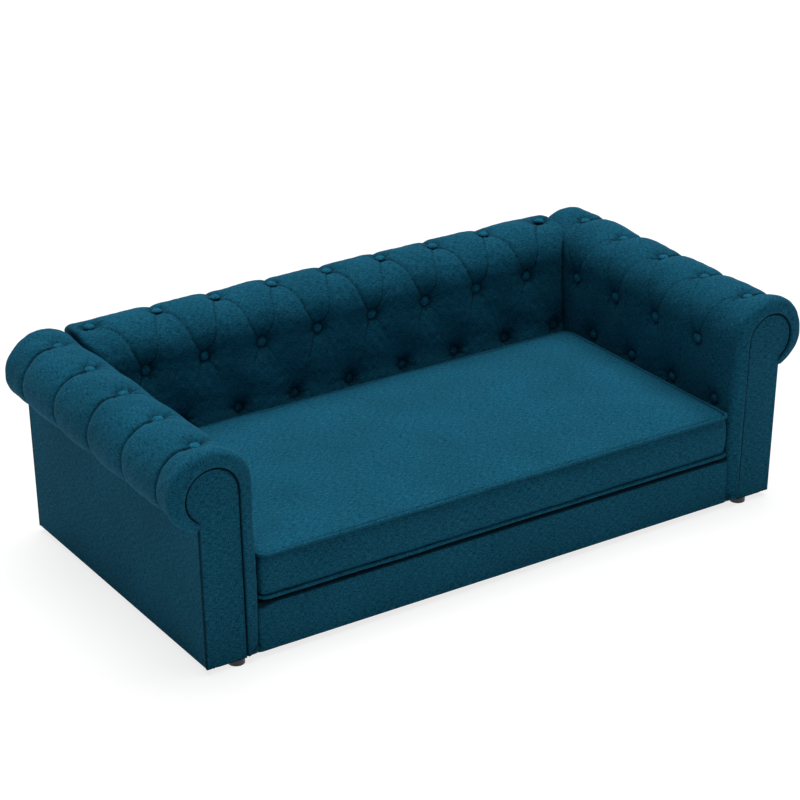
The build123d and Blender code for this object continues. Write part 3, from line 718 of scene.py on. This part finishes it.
def facing(side, front, seed):
    """A keyhole facing: rows across its outline, a soft edge and small gathers at its head.

    A row runs from the left side of the outline to the right one by a cosine. The height
    follows the distance to the outline, and the gathers are a cosine of the angle at the head.
    """
    round_edge, turned, edge_shade_width = 2.2 * MM, 2.6 * MM, 1.2 * MM
    head_turn = np.linspace(math.asin((NECK - HEAD_Z) / HEAD), math.pi / 2, 60)
    z = np.concatenate([np.linspace(FOOT, NECK, 70)[:-1], HEAD_Z + HEAD * np.sin(head_turn)])
    half = np.sqrt(np.maximum(HEAD**2 - (z - HEAD_Z) ** 2, 0))
    left = np.where(z < HEAD_Z, leg_inner(z), HEAD_U - half)
    right = np.where(z < NECK, leg_outer(z), HEAD_U + half)
    across = 0.5 - 0.5 * np.cos(np.linspace(0, math.pi, 61))
    U = left[:, None] + (right - left)[:, None] * across[None]
    Z = np.broadcast_to(z[:, None], U.shape)
    foot_line = np.linspace((left[0], FOOT), (right[0], FOOT), 40)
    outline = np.concatenate([np.column_stack([left, z]), np.column_stack([right, z]), foot_line])
    flat = np.stack([U, Z], -1).reshape(-1, 1, 2)
    edge = np.min(np.linalg.norm(flat - outline[None], axis=-1), axis=1).reshape(U.shape)
    angle = np.arctan2(Z - HEAD_Z, U - HEAD_U)
    head = smooth((Z - 205 * MM) / (20 * MM))
    gather = 0.35 * MM * np.cos(angle * 34 + 2 * np.sin(3 * angle)) * np.exp(-edge / (5 * MM)) * head
    gather += 0.35 * MM * ripple(U, Z, 60 * MM, seed)
    rise = panel_height(edge, round_edge) + gather * smooth(edge / (4 * MM))
    rise = np.where(edge < 1e-6, -turned, rise)
    Y = CORE_FRONT - 1.7 * MM - rise if front else CORE_REAR + 0.8 * MM + rise
    grid = np.stack([side * (ARM_AXIS + U), Y, Z], -1)
    end = "facing" if front else "rear"
    name = "right" if side > 0 else "left"
    # Shade painted into the groove round the facing's turned-in edge
    painted_shading = 0.95 * bell(edge / edge_shade_width)
    covered = [f"{name}_arm_{end}_cover"]
    flip = (side > 0) == front
    sheet(f"{name}_arm_{end}_panel", grid, np.stack([U, Z], -1), covered, flip=flip, painted_shading=painted_shading)


def flat_panel(name, low, high, axis, face, way, replaced, seed, turned=3.4 * MM, radius=1.6 * MM):
    """A covered rectangle across an axis: soft edges that turn in, and a slight wave.

    Its height follows the distance to the nearest edge. A side panel also leans with the leg.
    """
    step, margin, edge_shade_width = 6 * MM, 4 * MM, 0.9 * MM
    near = np.array([0, 0.25, 0.6, 1.1, 1.7, 2.6]) * MM
    spans = []
    for a, b in zip(low, high):
        count = max(int((b - a) / step), 8)
        inner = np.linspace(a + margin, b - margin, count)
        spans.append(np.concatenate([a + near, inner, b - near[::-1]]))
    A, B = np.meshgrid(*spans, indexing="ij")
    edge = np.minimum(np.minimum(A - low[0], high[0] - A), np.minimum(B - low[1], high[1] - B))
    wave = 0.35 * MM * ripple(A, B, 120 * MM, seed) * smooth(edge / (12 * MM))
    rise = np.where(edge < 1e-6, -turned, panel_height(edge, radius) - radius + wave)
    height = face + way * rise
    if axis == 0:
        height = height + way * (leg_outer(B) - leg_outer(FOOT))
    grid = np.stack([height, A, B], -1) if axis == 0 else np.stack([A, height, B], -1)
    flip = (way > 0) != (axis == 0)
    # Shade painted into the groove along the panel's turned-in edges
    painted_shading = 0.8 * bell(edge / edge_shade_width)
    sheet(name, grid, np.stack([A, B], -1), replaced, flip=flip, painted_shading=painted_shading)


def seat_cover(seed):
    """The cover of the front rail and the deck: one strip over a rounded front edge.

    Its line turns in at the foot, rises up the front, goes round a quarter circle and back over
    the deck. At each end it bends back by a quarter turn into the joint with the arm.
    """
    front, radius, deck_rear = -249.2 * MM, 5.5 * MM, 168 * MM
    turn = np.linspace(0, math.pi / 2, 9)
    line = [(front + 4 * MM, FOOT + 0.5 * MM), (front + 1 * MM, FOOT + 0.1 * MM)]
    line += [(front, z) for z in np.linspace(FOOT + 1.2 * MM, DECK - radius, 16)]
    line += [(front + radius - radius * math.cos(t), DECK - radius + radius * math.sin(t)) for t in turn[1:]]
    line += [(y, DECK) for y in np.linspace(front + radius + 6 * MM, deck_rear, 40)]
    line = np.array(line)
    end_round, tucked = 4.2 * MM, 14 * MM
    bend = np.linspace(0, math.pi / 2, 8)
    last = ARM_INNER - 5 * MM + end_round * np.sin(bend)
    inside = np.linspace(-ARM_INNER + 8 * MM, ARM_INNER - 8 * MM, 150)
    x = np.concatenate([-last[-1:], -last[::-1], inside, last, last[-1:]])
    bent = end_round * (1 - np.cos(bend))
    back_off = np.concatenate([[tucked], bent[::-1], np.zeros(len(inside)), bent, [tucked]])
    X, S = np.meshgrid(x, path_lengths(line), indexing="ij")
    wave = 0.35 * MM * ripple(X, S, 90 * MM, seed) * smooth((ARM_INNER - np.abs(X)) / (12 * MM))
    on_front = smooth((70 * MM - S) / (10 * MM)) * smooth(S / (8 * MM))
    Y = line[None, :, 0] - np.abs(wave) * on_front + back_off[:, None] * smooth((82 * MM - S) / (14 * MM))
    # end widens the painted shadow at the ends of the rail, more at the left
    end = smooth((np.abs(X) - 352 * MM) / (20 * MM)) * np.where(X < 0, 1, 0.5)
    Z = np.broadcast_to(line[None, :, 1], X.shape)
    # Painted shadow on the rail's rounded top and the deck, where the cushion hangs over them
    painted_shading = 0.95 * smooth((Z - 72.6 * MM + 3 * MM * end) / (2.4 * MM))
    covered = ["seat_cover", "seat_front_padding"]
    sheet("seat_fabric", np.stack([X, Y, Z], -1), np.stack([X, S], -1), covered, painted_shading=painted_shading)


# The cushion


def cushion_rings():
    """Rings of the cushion: rounded rectangles from the middle of the belly to that of the crown.

    Each ring has an inset and a height, both in millimetres, and the border swells by a sine of
    its height. A corner is an arc, and the points between corners run on by the cosine and the
    sine of the turn.
    """
    half_x, corner = CUSHION_HALF, CUSHION_CORNER
    middle_y = (CUSHION_FRONT + CUSHION_REAR) / 2
    half_y = (CUSHION_REAR - CUSHION_FRONT) / 2
    turn = np.linspace(0, 2 * math.pi, 241)[:-1]
    levels = [(178, 77.9), (120, 77.8), (60, 77.9), (22, 78.5), (8, 80.2), (1.2, 82.4), (0, 85)]
    levels += [(0, 92), (0, 101), (0, 111), (0, 122), (0, 132), (0, 139.5), (1, 142.2)]
    levels += [(4.5, 144), (14, 146), (34, 147.4), (70, 148.1), (120, 148.4), (178, 148.4)]
    border_low, border = 84, 56
    rings = []
    for inset, z in levels:
        up = min(max((z - border_low) / border, 0), 1)
        swell = 2.2 * MM * math.sin(math.pi * up) * (inset == 0)
        hx = half_x - inset * MM + swell
        hy = half_y - inset * MM + swell
        c = min(corner + 0.4 * inset * MM, 0.8 * hy)
        cx = np.sign(np.cos(turn)) * np.minimum(np.abs(np.cos(turn)) * 6 * hx, hx - c)
        cy = np.sign(np.sin(turn)) * np.minimum(np.abs(np.sin(turn)) * 6 * hy, hy - c)
        level = np.full(len(turn), z * MM)
        rings.append(np.column_stack([cx + c * np.cos(turn), middle_y + cy + c * np.sin(turn), level]))
    return np.array(rings)


def rear_overhang(y, z):
    """How far the cushion's upper rear edge leans over towards the back, by two smooth steps."""
    return 8 * MM * smooth((y - 60 * MM) / (50 * MM)) * smooth((z - 126 * MM) / (12 * MM))


def seam_path(count):
    """The seam round the cushion: a rounded rectangle, as points, outward normals and lengths.

    Four quarter circles are joined by straight lines, and places are read off at even steps.
    """
    half_x = CUSHION_HALF + SEAM_OUT
    middle_y = (CUSHION_FRONT + CUSHION_REAR) / 2
    half_y = (CUSHION_REAR - CUSHION_FRONT) / 2 + SEAM_OUT
    corner = CUSHION_CORNER + SEAM_OUT
    pieces, normals = [], []
    for k, (sx, sy) in enumerate(((1, 1), (-1, 1), (-1, -1), (1, -1))):
        turn = np.linspace(k * math.pi / 2, (k + 1) * math.pi / 2, 40)
        normal = np.column_stack([np.cos(turn), np.sin(turn)])
        centre = np.array([sx * (half_x - corner), middle_y + sy * (half_y - corner)])
        pieces.append(centre + corner * normal)
        normals.append(normal)
    points = np.concatenate(pieces + [pieces[0][:1]])
    normals = np.concatenate(normals + [normals[0][:1]])
    length = path_lengths(points)
    even = np.linspace(0, length[-1], count, endpoint=False)
    path = np.column_stack([np.interp(even, length, points[:, i]) for i in range(2)])
    way = np.column_stack([np.interp(even, length, normals[:, i]) for i in range(2)])
    return path, way / np.linalg.norm(way, axis=1, keepdims=True), even


def mesh_points(mesh):
    """The places of a mesh's points, one per row."""
    points = np.empty(len(mesh.vertices) * 3, np.float32)
    mesh.vertices.foreach_get("co", points)
    return points.reshape(-1, 3).astype(float)


def box_uv(mesh):
    """UV in metres from the side that each face looks to: the other two of its coordinates."""
    count = len(mesh.polygons)
    normals = np.empty(count * 3, np.float32)
    mesh.polygons.foreach_get("normal", normals)
    axis = np.argmax(np.abs(normals.reshape(-1, 3)), axis=1)
    totals = np.empty(count, np.int32)
    mesh.polygons.foreach_get("loop_total", totals)
    corners = np.empty(len(mesh.loops), np.int32)
    mesh.loops.foreach_get("vertex_index", corners)
    place = mesh_points(mesh)[corners]
    axis = np.repeat(axis, totals)
    u = np.where(axis == 0, place[:, 1], place[:, 0])
    v = np.where(axis == 2, place[:, 1], place[:, 2])
    layer = mesh.uv_layers.get("Cloth") or mesh.uv_layers.new(name="Cloth")
    layer.uv.foreach_set("vector", np.column_stack([u, v]).astype(np.float32).ravel())


def cushion_base():
    """A closed mesh from the cushion's rings, with a point at the middle of each side."""
    rings = cushion_rings()
    rows, columns = rings.shape[:2]
    points = np.concatenate([rings.reshape(-1, 3), rings[0].mean(0)[None], rings[-1].mean(0)[None]])
    faces = quads(rows, columns, around=True)[:, ::-1].tolist()
    low = rows * columns
    high = low + 1
    last = (rows - 1) * columns
    for i in range(columns):
        j = (i + 1) % columns
        faces.append([low, j, i])
        faces.append([high, last + i, last + j])
    mesh = bpy.data.meshes.new("cushion")
    mesh.from_pydata(points.tolist(), [], faces)
    return mesh


def applied(piece):
    """Puts a piece's modifiers into its mesh."""
    graph = bpy.context.evaluated_depsgraph_get()
    graph.update()
    mesh = bpy.data.meshes.new_from_object(piece.evaluated_get(graph))
    piece.modifiers.clear()
    old = piece.data
    piece.data = mesh
    bpy.data.meshes.remove(old)


def swollen(piece, rest):
    """The cushion's points after a short cloth run with air pressure, its seams and belly held.

    No point moves further than a few millimetres from its place at rest.
    """
    steps, furthest = 20, 6 * MM
    held = piece.vertex_groups.new(name="Seams")
    side = (np.abs(rest[:, 0]) > 365 * MM) | (rest[:, 1] < -241 * MM) | (rest[:, 1] > 108 * MM)
    near = (np.abs(rest[:, 2] - SEAM_LOW) < 4 * MM) | (np.abs(rest[:, 2] - SEAM_HIGH) < 4 * MM)
    held.add(np.nonzero(side & near)[0].tolist(), 1.0, "REPLACE")
    held.add(np.nonzero(rest[:, 2] < 79 * MM)[0].tolist(), 1.0, "REPLACE")
    cloth = piece.modifiers.new("Swell", "CLOTH")
    settings = cloth.settings
    settings.quality = 5
    settings.use_pressure = True
    settings.uniform_pressure_force = 4
    settings.tension_stiffness = 15
    settings.compression_stiffness = 8
    settings.bending_stiffness = 0.8
    settings.vertex_group_mass = "Seams"
    settings.effector_weights.gravity = 0
    cloth.point_cache.frame_end = steps
    for step in range(1, steps + 1):
        bpy.context.scene.frame_set(step)
    applied(piece)
    bpy.context.scene.frame_set(1)
    move = mesh_points(piece.data) - rest
    size = np.linalg.norm(move, axis=1, keepdims=True)
    move *= np.minimum(1, furthest / np.maximum(size, 1e-9))
    return rest + move


def sewn(rest, path, way):
    """The cushion's points drawn to its seams, with a groove and puckers beside each.

    Near a seam a point is pulled out to it. A bell of the distance makes the groove, and a
    ripple along the seam in a wider bell makes the puckers. Soft ripples wave the crown and
    the front.
    """
    round_the_seam = 2.2
    shaped = rest.copy()
    for start in range(0, len(rest), BLOCK):
        part = slice(start, start + BLOCK)
        flat = np.linalg.norm(rest[part, None, :2] - path[None], axis=-1)
        nearest = np.argmin(flat, axis=1)
        along = nearest * (round_the_seam / len(path))
        away = np.min(flat, axis=1)
        for level, up in ((SEAM_LOW, -1), (SEAM_HIGH, 1)):
            height = rest[part, 2] - level
            pull = np.clip(away - 1 * MM, 0, 6 * MM) * bell(height / (7 * MM)) * (away < 9 * MM)
            shaped[part, :2] += way[nearest] * (pull * smooth(2 - away / (5 * MM)))[:, None]
            apart = np.hypot(away, height)
            groove = 1.1 * MM * bell(apart / (6 * MM))
            pucker = 0.5 * MM * ripple(along, height * 0.4, 15 * MM, 31 + up) * bell(apart / (16 * MM))
            draw = (groove - pucker) * (np.abs(height) < 30 * MM)
            shaped[part, :2] -= way[nearest] * draw[:, None]
            shaped[part, 2] -= up * 1.2 * groove * (away > 2 * MM)
    x, y, z = rest.T
    top = smooth((z - 143 * MM) / (3 * MM))
    shaped[:, 2] += top * (0.7 * MM * ripple(x, y, 150 * MM, 5) + 0.25 * MM * ripple(x, y, 48 * MM, 6))
    front = smooth((-246 * MM - y) / (3 * MM))
    shaped[:, 1] += front * 0.5 * MM * ripple(x, z, 60 * MM, 8)
    shaped[:, 2] = np.maximum(shaped[:, 2], CUSHION_FLOOR)
    behind_zip = np.abs(z - 111 * MM) < 16 * MM
    shaped[:, 1] = np.minimum(shaped[:, 1], np.where(behind_zip, 114.6 * MM, 119 * MM))
    shaped[:, 1] += rear_overhang(shaped[:, 1], z)
    return shaped


def seam_painted_shade(points, path):
    """Painted shade of the cushion's points: a bell of the distance to each seam's piping."""
    painted_shading = np.zeros(len(points))
    for start in range(0, len(points), BLOCK):
        part = points[start:start + BLOCK]
        away = np.min(np.linalg.norm(part[:, None, :2] - path[None], axis=-1), axis=1)
        for level in (SEAM_LOW, SEAM_HIGH):
            beyond = np.maximum(np.hypot(away, part[:, 2] - level) - 1.6 * MM, 0)
            painted_shading[start:start + BLOCK] += 0.75 * bell(beyond / (2.4 * MM))
    return painted_shading


def cushion():
    """The boxed cushion: an even mesh, swollen by a cloth run, with its seams drawn in."""
    piece = bpy.data.objects.new("seat_cushion", cushion_base())
    bpy.context.collection.objects.link(piece)
    remesh = piece.modifiers.new("Even", "REMESH")
    remesh.mode = "VOXEL"
    remesh.voxel_size = 6 * MM
    applied(piece)
    rest = mesh_points(piece.data)
    rest = swollen(piece, rest)
    path, way, _ = seam_path(1100)
    piece.data.vertices.foreach_set("co", sewn(rest, path, way).astype(np.float32).ravel())
    piece.data.update()
    even = piece.modifiers.new("Smooth", "SUBSURF")
    even.levels = even.render_levels = 1
    applied(piece)
    box_uv(piece.data)
    piece.data.polygons.foreach_set("use_smooth", np.ones(len(piece.data.polygons), bool))
    # Shade painted into the grooves beside both piped seams
    painted_shading = seam_painted_shade(mesh_points(piece.data), path)
    kept = piece.data.attributes.new("PaintedShading", "FLOAT", "POINT")
    kept.data.foreach_set("value", painted_shading.astype(np.float32))
    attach(piece, "cushion")
    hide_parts("cushion_cover", "cushion_foam")


def piping():
    """Two round cords in bias-cut fabric round the cushion, each a circle carried along the seam.

    Their radius, place and height ripple a little, and the upper one is pressed down and back
    where it meets the back. The cloth coordinates run at 45 degrees.
    """
    path, way, length = seam_path(900)
    turn = np.linspace(0, 2 * math.pi, 15)
    slope = 0.707
    parts = []
    for level, seed in ((SEAM_LOW, 3), (SEAM_HIGH, 4)):
        radius = PIPING + 0.12 * MM * ripple(length, length * 0, 30 * MM, seed)
        drift = 0.45 * MM * ripple(length, length * 0, 190 * MM, seed + 5)
        dip = 0.25 * MM * ripple(length, length * 0, 130 * MM, seed + 9)
        out = radius[:, None] * np.cos(turn)[None]
        up = radius[:, None] * np.sin(turn)[None]
        flat = path[:, None, :] + way[:, None, :] * (out + drift[:, None])[..., None]
        pressed = smooth((flat[..., 1] - 98 * MM) / (14 * MM)) * (level > SEAM_LOW)
        flat[..., 1] += rear_overhang(flat[..., 1], level) + 0.5 * MM * pressed
        high = level + up + dip[:, None] - 2.8 * MM * pressed
        grid = np.concatenate([flat, high[..., None]], -1)[:, :-1]
        faces = quads(*grid.shape[:2], around=True, along=True)
        closed = np.append(length, length[-1] + length[1])
        U, V = np.meshgrid(closed, turn / (2 * math.pi) * 15 * MM, indexing="ij")
        bias = np.stack([(U + V) * slope, (U - V) * slope], -1)
        parts.append((grid.reshape(-1, 3), faces, cells(bias).reshape(-1, 2)))
    make_mesh("cushion_welts", *joined(parts), "cushion", "teal_fabric", ["cushion_piping"])


# Materials


def node_adder(tree):
    """A helper that adds a node to a tree, and sets its fields and, by in_ names, its sockets."""

    def add(kind, **values):
        node = tree.nodes.new(kind)
        for key, value in values.items():
            if key.startswith("in_"):
                node.inputs[key[3:].replace("_", " ")].default_value = value
            else:
                setattr(node, key, value)
        return node

    return add


def new_material(name):
    """A material with its node tree, Principled shader and a helper that adds nodes."""
    material = bpy.data.materials.new(name)
    material.use_nodes = True
    tree = material.node_tree
    return material, tree, tree.nodes["Principled BSDF"], node_adder(tree)


def set_ends(ramp, low, dark, high, light):
    """Sets the two stops of a colour ramp."""
    for stop, place, colour in zip(ramp.color_ramp.elements, (low, high), (dark, light)):
        stop.position = place
        stop.color = (*colour, 1)


def linen():
    """Heathered linen-look weave: slubby threads two ways over a dyed ground, matt with a sheen.

    The colour follows the mean of two noises, each stretched along one way of the cloth. Its
    tone is varied by a coarse noise, then darkened by the painted shade and lightened by the
    painted highlight of the PaintedShading attribute, and the threads also raise the bump.
    """
    material, tree, shader, add = new_material("Teal linen weave")
    link = tree.links.new
    place = add("ShaderNodeUVMap", uv_map="Cloth")
    threads = []
    for along, across, share in ((140, 880, 1.15), (880, 190, 0.85)):
        stretched = add("ShaderNodeMapping", in_Scale=(along, across, 1))
        link(place.outputs["UV"], stretched.inputs["Vector"])
        noise = add("ShaderNodeTexNoise", in_Scale=1.0, in_Detail=2.0, in_Roughness=0.55)
        link(stretched.outputs["Vector"], noise.inputs["Vector"])
        weighed = add("ShaderNodeMath", operation="MULTIPLY")
        weighed.inputs[1].default_value = share
        link(noise.outputs["Fac"], weighed.inputs[0])
        threads.append(weighed.outputs[0])
    both = add("ShaderNodeMath", operation="ADD")
    link(threads[0], both.inputs[0])
    link(threads[1], both.inputs[1])
    halved = add("ShaderNodeMath", operation="MULTIPLY")
    halved.inputs[1].default_value = 0.5
    link(both.outputs[0], halved.inputs[0])
    melange = add("ShaderNodeValToRGB")
    set_ends(melange, 0.37, (0.0012, 0.037, 0.072), 0.64, (0.0125, 0.144, 0.234))
    link(halved.outputs[0], melange.inputs["Fac"])
    coarse = add("ShaderNodeTexNoise", in_Scale=9.0, in_Detail=2.0)
    link(place.outputs["UV"], coarse.inputs["Vector"])
    shade = add("ShaderNodeMapRange", in_From_Min=0.3, in_From_Max=0.7, in_To_Min=0.9, in_To_Max=1.1)
    link(coarse.outputs["Fac"], shade.inputs["Value"])
    tint = add("ShaderNodeVectorMath", operation="SCALE")
    link(melange.outputs["Color"], tint.inputs[0])
    link(shade.outputs["Result"], tint.inputs["Scale"])
    # Painted shade and highlight: the attribute scales the colour from 1.8 at -1 down to 0.2 at 1
    painted_shading = add("ShaderNodeAttribute", attribute_name="PaintedShading")
    deep = add("ShaderNodeMapRange", in_From_Min=-1.0, in_From_Max=1.0, in_To_Min=1.8, in_To_Max=0.2)
    link(painted_shading.outputs["Fac"], deep.inputs["Value"])
    painted_shade_colour = add("ShaderNodeVectorMath", operation="SCALE")
    link(tint.outputs["Vector"], painted_shade_colour.inputs[0])
    link(deep.outputs["Result"], painted_shade_colour.inputs["Scale"])
    link(painted_shade_colour.outputs["Vector"], shader.inputs["Base Color"])
    bump = add("ShaderNodeBump", in_Strength=0.55, in_Distance=0.5 * MM)
    link(both.outputs[0], bump.inputs["Height"])
    link(bump.outputs["Normal"], shader.inputs["Normal"])
    shader.inputs["Roughness"].default_value = 0.92
    shader.inputs["Specular IOR Level"].default_value = 0.07
    shader.inputs["Sheen Weight"].default_value = 0.03
    shader.inputs["Sheen Roughness"].default_value = 0.45
    shader.inputs["Sheen Tint"].default_value = (0.35, 0.75, 0.9, 1)
    return material


def grained(name, dark, light, scale, roughness, bump_size, stretch=(1, 1, 1), metallic=0.0):
    """A plain material whose colour and bump follow stretched noise on Object coordinates."""
    material, tree, shader, add = new_material(name)
    link = tree.links.new
    place = add("ShaderNodeTexCoord")
    stretched = add("ShaderNodeMapping", in_Scale=stretch)
    link(place.outputs["Object"], stretched.inputs["Vector"])
    noise = add("ShaderNodeTexNoise", in_Scale=scale, in_Detail=4.0, in_Roughness=0.6)
    link(stretched.outputs["Vector"], noise.inputs["Vector"])
    mix = add("ShaderNodeValToRGB")
    set_ends(mix, 0.3, dark, 0.7, light)
    link(noise.outputs["Fac"], mix.inputs["Fac"])
    link(mix.outputs["Color"], shader.inputs["Base Color"])
    bump = add("ShaderNodeBump", in_Strength=0.4, in_Distance=bump_size)
    link(noise.outputs["Fac"], bump.inputs["Height"])
    link(bump.outputs["Normal"], shader.inputs["Normal"])
    shader.inputs["Roughness"].default_value = roughness
    shader.inputs["Metallic"].default_value = metallic
    return material


# Each finish but the linen: name, dark and light colour, noise scale, roughness and bump height

FINISHES = {
    "teal_fabric": linen(),
    "black_cloth": grained(
        "Black dust cloth", (0.008, 0.008, 0.009), (0.02, 0.02, 0.022), 900, 0.9, 0.3 * MM
    ),
    "foam": grained("Open foam", (0.62, 0.57, 0.42), (0.8, 0.76, 0.62), 500, 0.95, 0.6 * MM),
    "plywood": grained(
        "Plywood", (0.42, 0.27, 0.14), (0.66, 0.48, 0.28), 14, 0.6, 0.4 * MM, stretch=(1, 6, 1)
    ),
    "pine": grained(
        "Pine", (0.5, 0.33, 0.16), (0.72, 0.54, 0.3), 10, 0.6, 0.4 * MM, stretch=(8, 1, 8)
    ),
    "hardboard": grained("Hardboard", (0.12, 0.07, 0.035), (0.2, 0.12, 0.065), 300, 0.7, 0.2 * MM),
    "black_plastic": grained(
        "Black moulded plastic", (0.006, 0.006, 0.007), (0.014, 0.014, 0.015), 700, 0.42, 0.1 * MM
    ),
    "zip_tape": grained(
        "Zip tape", (0.003, 0.03, 0.05), (0.01, 0.08, 0.12), 800, 0.85, 0.3 * MM, stretch=(1, 1, 4)
    ),
    "zip_teeth": grained("Zip coil", (0.004, 0.03, 0.05), (0.01, 0.06, 0.09), 300, 0.35, 0.1 * MM),
    "zip_metal": grained(
        "Painted zip slider", (0.005, 0.03, 0.045), (0.012, 0.055, 0.08), 200, 0.35, 0.1 * MM, metallic=0.3
    ),
}


def dress():
    """Gives every CAD node the material of its slot, and every other piece without one the teal linen."""
    slots = {part["node"]: part["material_slot"] for part in frame["record"]["subparts"]}
    for name, node in frame["nodes"].items():
        node.data.materials.clear()
        node.data.materials.append(FINISHES[slots[name]])
    for piece in bpy.data.objects:
        if piece.type == "MESH" and piece.name not in frame["nodes"] and not piece.data.materials:
            piece.data.materials.append(FINISHES["teal_fabric"])


# Studio: lamps are given as name, tilt from overhead, turn, softness and power

WORLD = 0.02
FLOOR_HALF = 14
FLOOR_COLOUR = (0.88, 0.88, 0.88, 1)
FLOOR_GLOW = 1.2
FLOOR_SHARE = 0.66
LAMPS = (("soft box", 12, 135, 50, 2.95), ("front fill", 50, -50, 35, 0.14))
CAMERA_PLACE = (-1.68016, -2.52714, 1.52988)
CAMERA_TURN = (1.1485075, 0, -0.5853575)
CAMERA_LENS = 108.766


def background_rays(tree, add):
    """1 for rays from the camera, off gloss or through glass, and 0 for all others."""
    path = add("ShaderNodeLightPath")
    seen = path.outputs["Is Camera Ray"]
    for kind in ("Is Glossy Ray", "Is Transmission Ray"):
        either = add("ShaderNodeMath", operation="MAXIMUM")
        tree.links.new(seen, either.inputs[0])
        tree.links.new(path.outputs[kind], either.inputs[1])
        seen = either.outputs[0]
    return seen


def pale_floor():
    """A wide floor whose colour glows a share of its way to white, so that the shadow stays."""
    a = FLOOR_HALF
    mesh = bpy.data.meshes.new("floor")
    mesh.from_pydata([(-a, -a, 0), (a, -a, 0), (a, a, 0), (-a, a, 0)], [], [(0, 1, 2, 3)])
    floor = bpy.data.objects.new("floor", mesh)
    bpy.context.collection.objects.link(floor)
    paint, tree, shader, add = new_material("Pale floor")
    link = tree.links.new
    shader.inputs["Base Color"].default_value = FLOOR_COLOUR
    shader.inputs["Roughness"].default_value = 1
    shader.inputs["Specular IOR Level"].default_value = 0
    glow = add("ShaderNodeEmission", in_Strength=FLOOR_GLOW)
    share = add("ShaderNodeMath", operation="MULTIPLY")
    share.inputs[1].default_value = FLOOR_SHARE
    link(background_rays(tree, add), share.inputs[0])
    whole = add("ShaderNodeMixShader")
    link(share.outputs[0], whole.inputs[0])
    link(shader.outputs[0], whole.inputs[1])
    link(glow.outputs[0], whole.inputs[2])
    link(whole.outputs[0], tree.nodes["Material Output"].inputs["Surface"])
    mesh.materials.append(paint)


def white_world(scene):
    """A world that looks white and lights the sofa only faintly."""
    world = bpy.data.worlds.new("Studio")
    scene.world = world
    world.use_nodes = True
    tree = world.node_tree
    add = node_adder(tree)
    link = tree.links.new
    light = tree.nodes["Background"]
    light.inputs["Color"].default_value = (0.95, 0.97, 1, 1)
    light.inputs["Strength"].default_value = WORLD
    white = add("ShaderNodeBackground", in_Color=(1, 1, 1, 1), in_Strength=1)
    mix = add("ShaderNodeMixShader")
    link(background_rays(tree, add), mix.inputs[0])
    link(light.outputs[0], mix.inputs[1])
    link(white.outputs[0], mix.inputs[2])
    link(mix.outputs[0], tree.nodes["World Output"].inputs["Surface"])


def studio():
    """White floor and world, broad soft lamps and the camera of the photograph."""
    scene = bpy.context.scene
    scene.view_settings.view_transform = "Standard"
    pale_floor()
    white_world(scene)
    for name, tilt, turn, soft, power in LAMPS:
        data = bpy.data.lights.new(name, "SUN")
        data.angle = math.radians(soft)
        data.energy = power
        lamp = bpy.data.objects.new(name, data)
        bpy.context.collection.objects.link(lamp)
        lamp.location = (0, 0, 2)
        lamp.rotation_euler = (math.radians(tilt), 0, math.radians(turn))
    lens = bpy.data.cameras.new("camera")
    lens.lens = CAMERA_LENS
    lens.clip_end = 50
    camera = bpy.data.objects.new("camera", lens)
    bpy.context.collection.objects.link(camera)
    camera.location = CAMERA_PLACE
    camera.rotation_euler = CAMERA_TURN
    scene.camera = camera


arm_cover(side=1, seed=11)
arm_cover(side=-1, seed=12)
back_cover(seed=20)
for side in (1, -1):
    facing(side, front=True, seed=40 + side)
    facing(side, front=False, seed=44 + side)
    word = "right" if side > 0 else "left"
    low = (CORE_FRONT - SIDE_PANEL_LAP, FOOT)
    high = (CORE_REAR, SIDE_PANEL_TOP)
    covered = [f"{word}_arm_outer_cover"]
    flat_panel(f"{word}_arm_side_panel", low, high, 0, side * SIDE_PANEL, side, covered, 50 + side)
low = (-BACK_END - BACK_PANEL_LAP, FOOT)
high = (BACK_END + BACK_PANEL_LAP, BACK_PANEL_TOP)
covered = ["back_rear_cover"]
flat_panel("back_rear_panel", low, high, 1, BACK_PANEL, 1, covered, 60, turned=BACK_PANEL_TURN)
seat_cover(seed=70)
cushion()
piping()
dress()
studio()
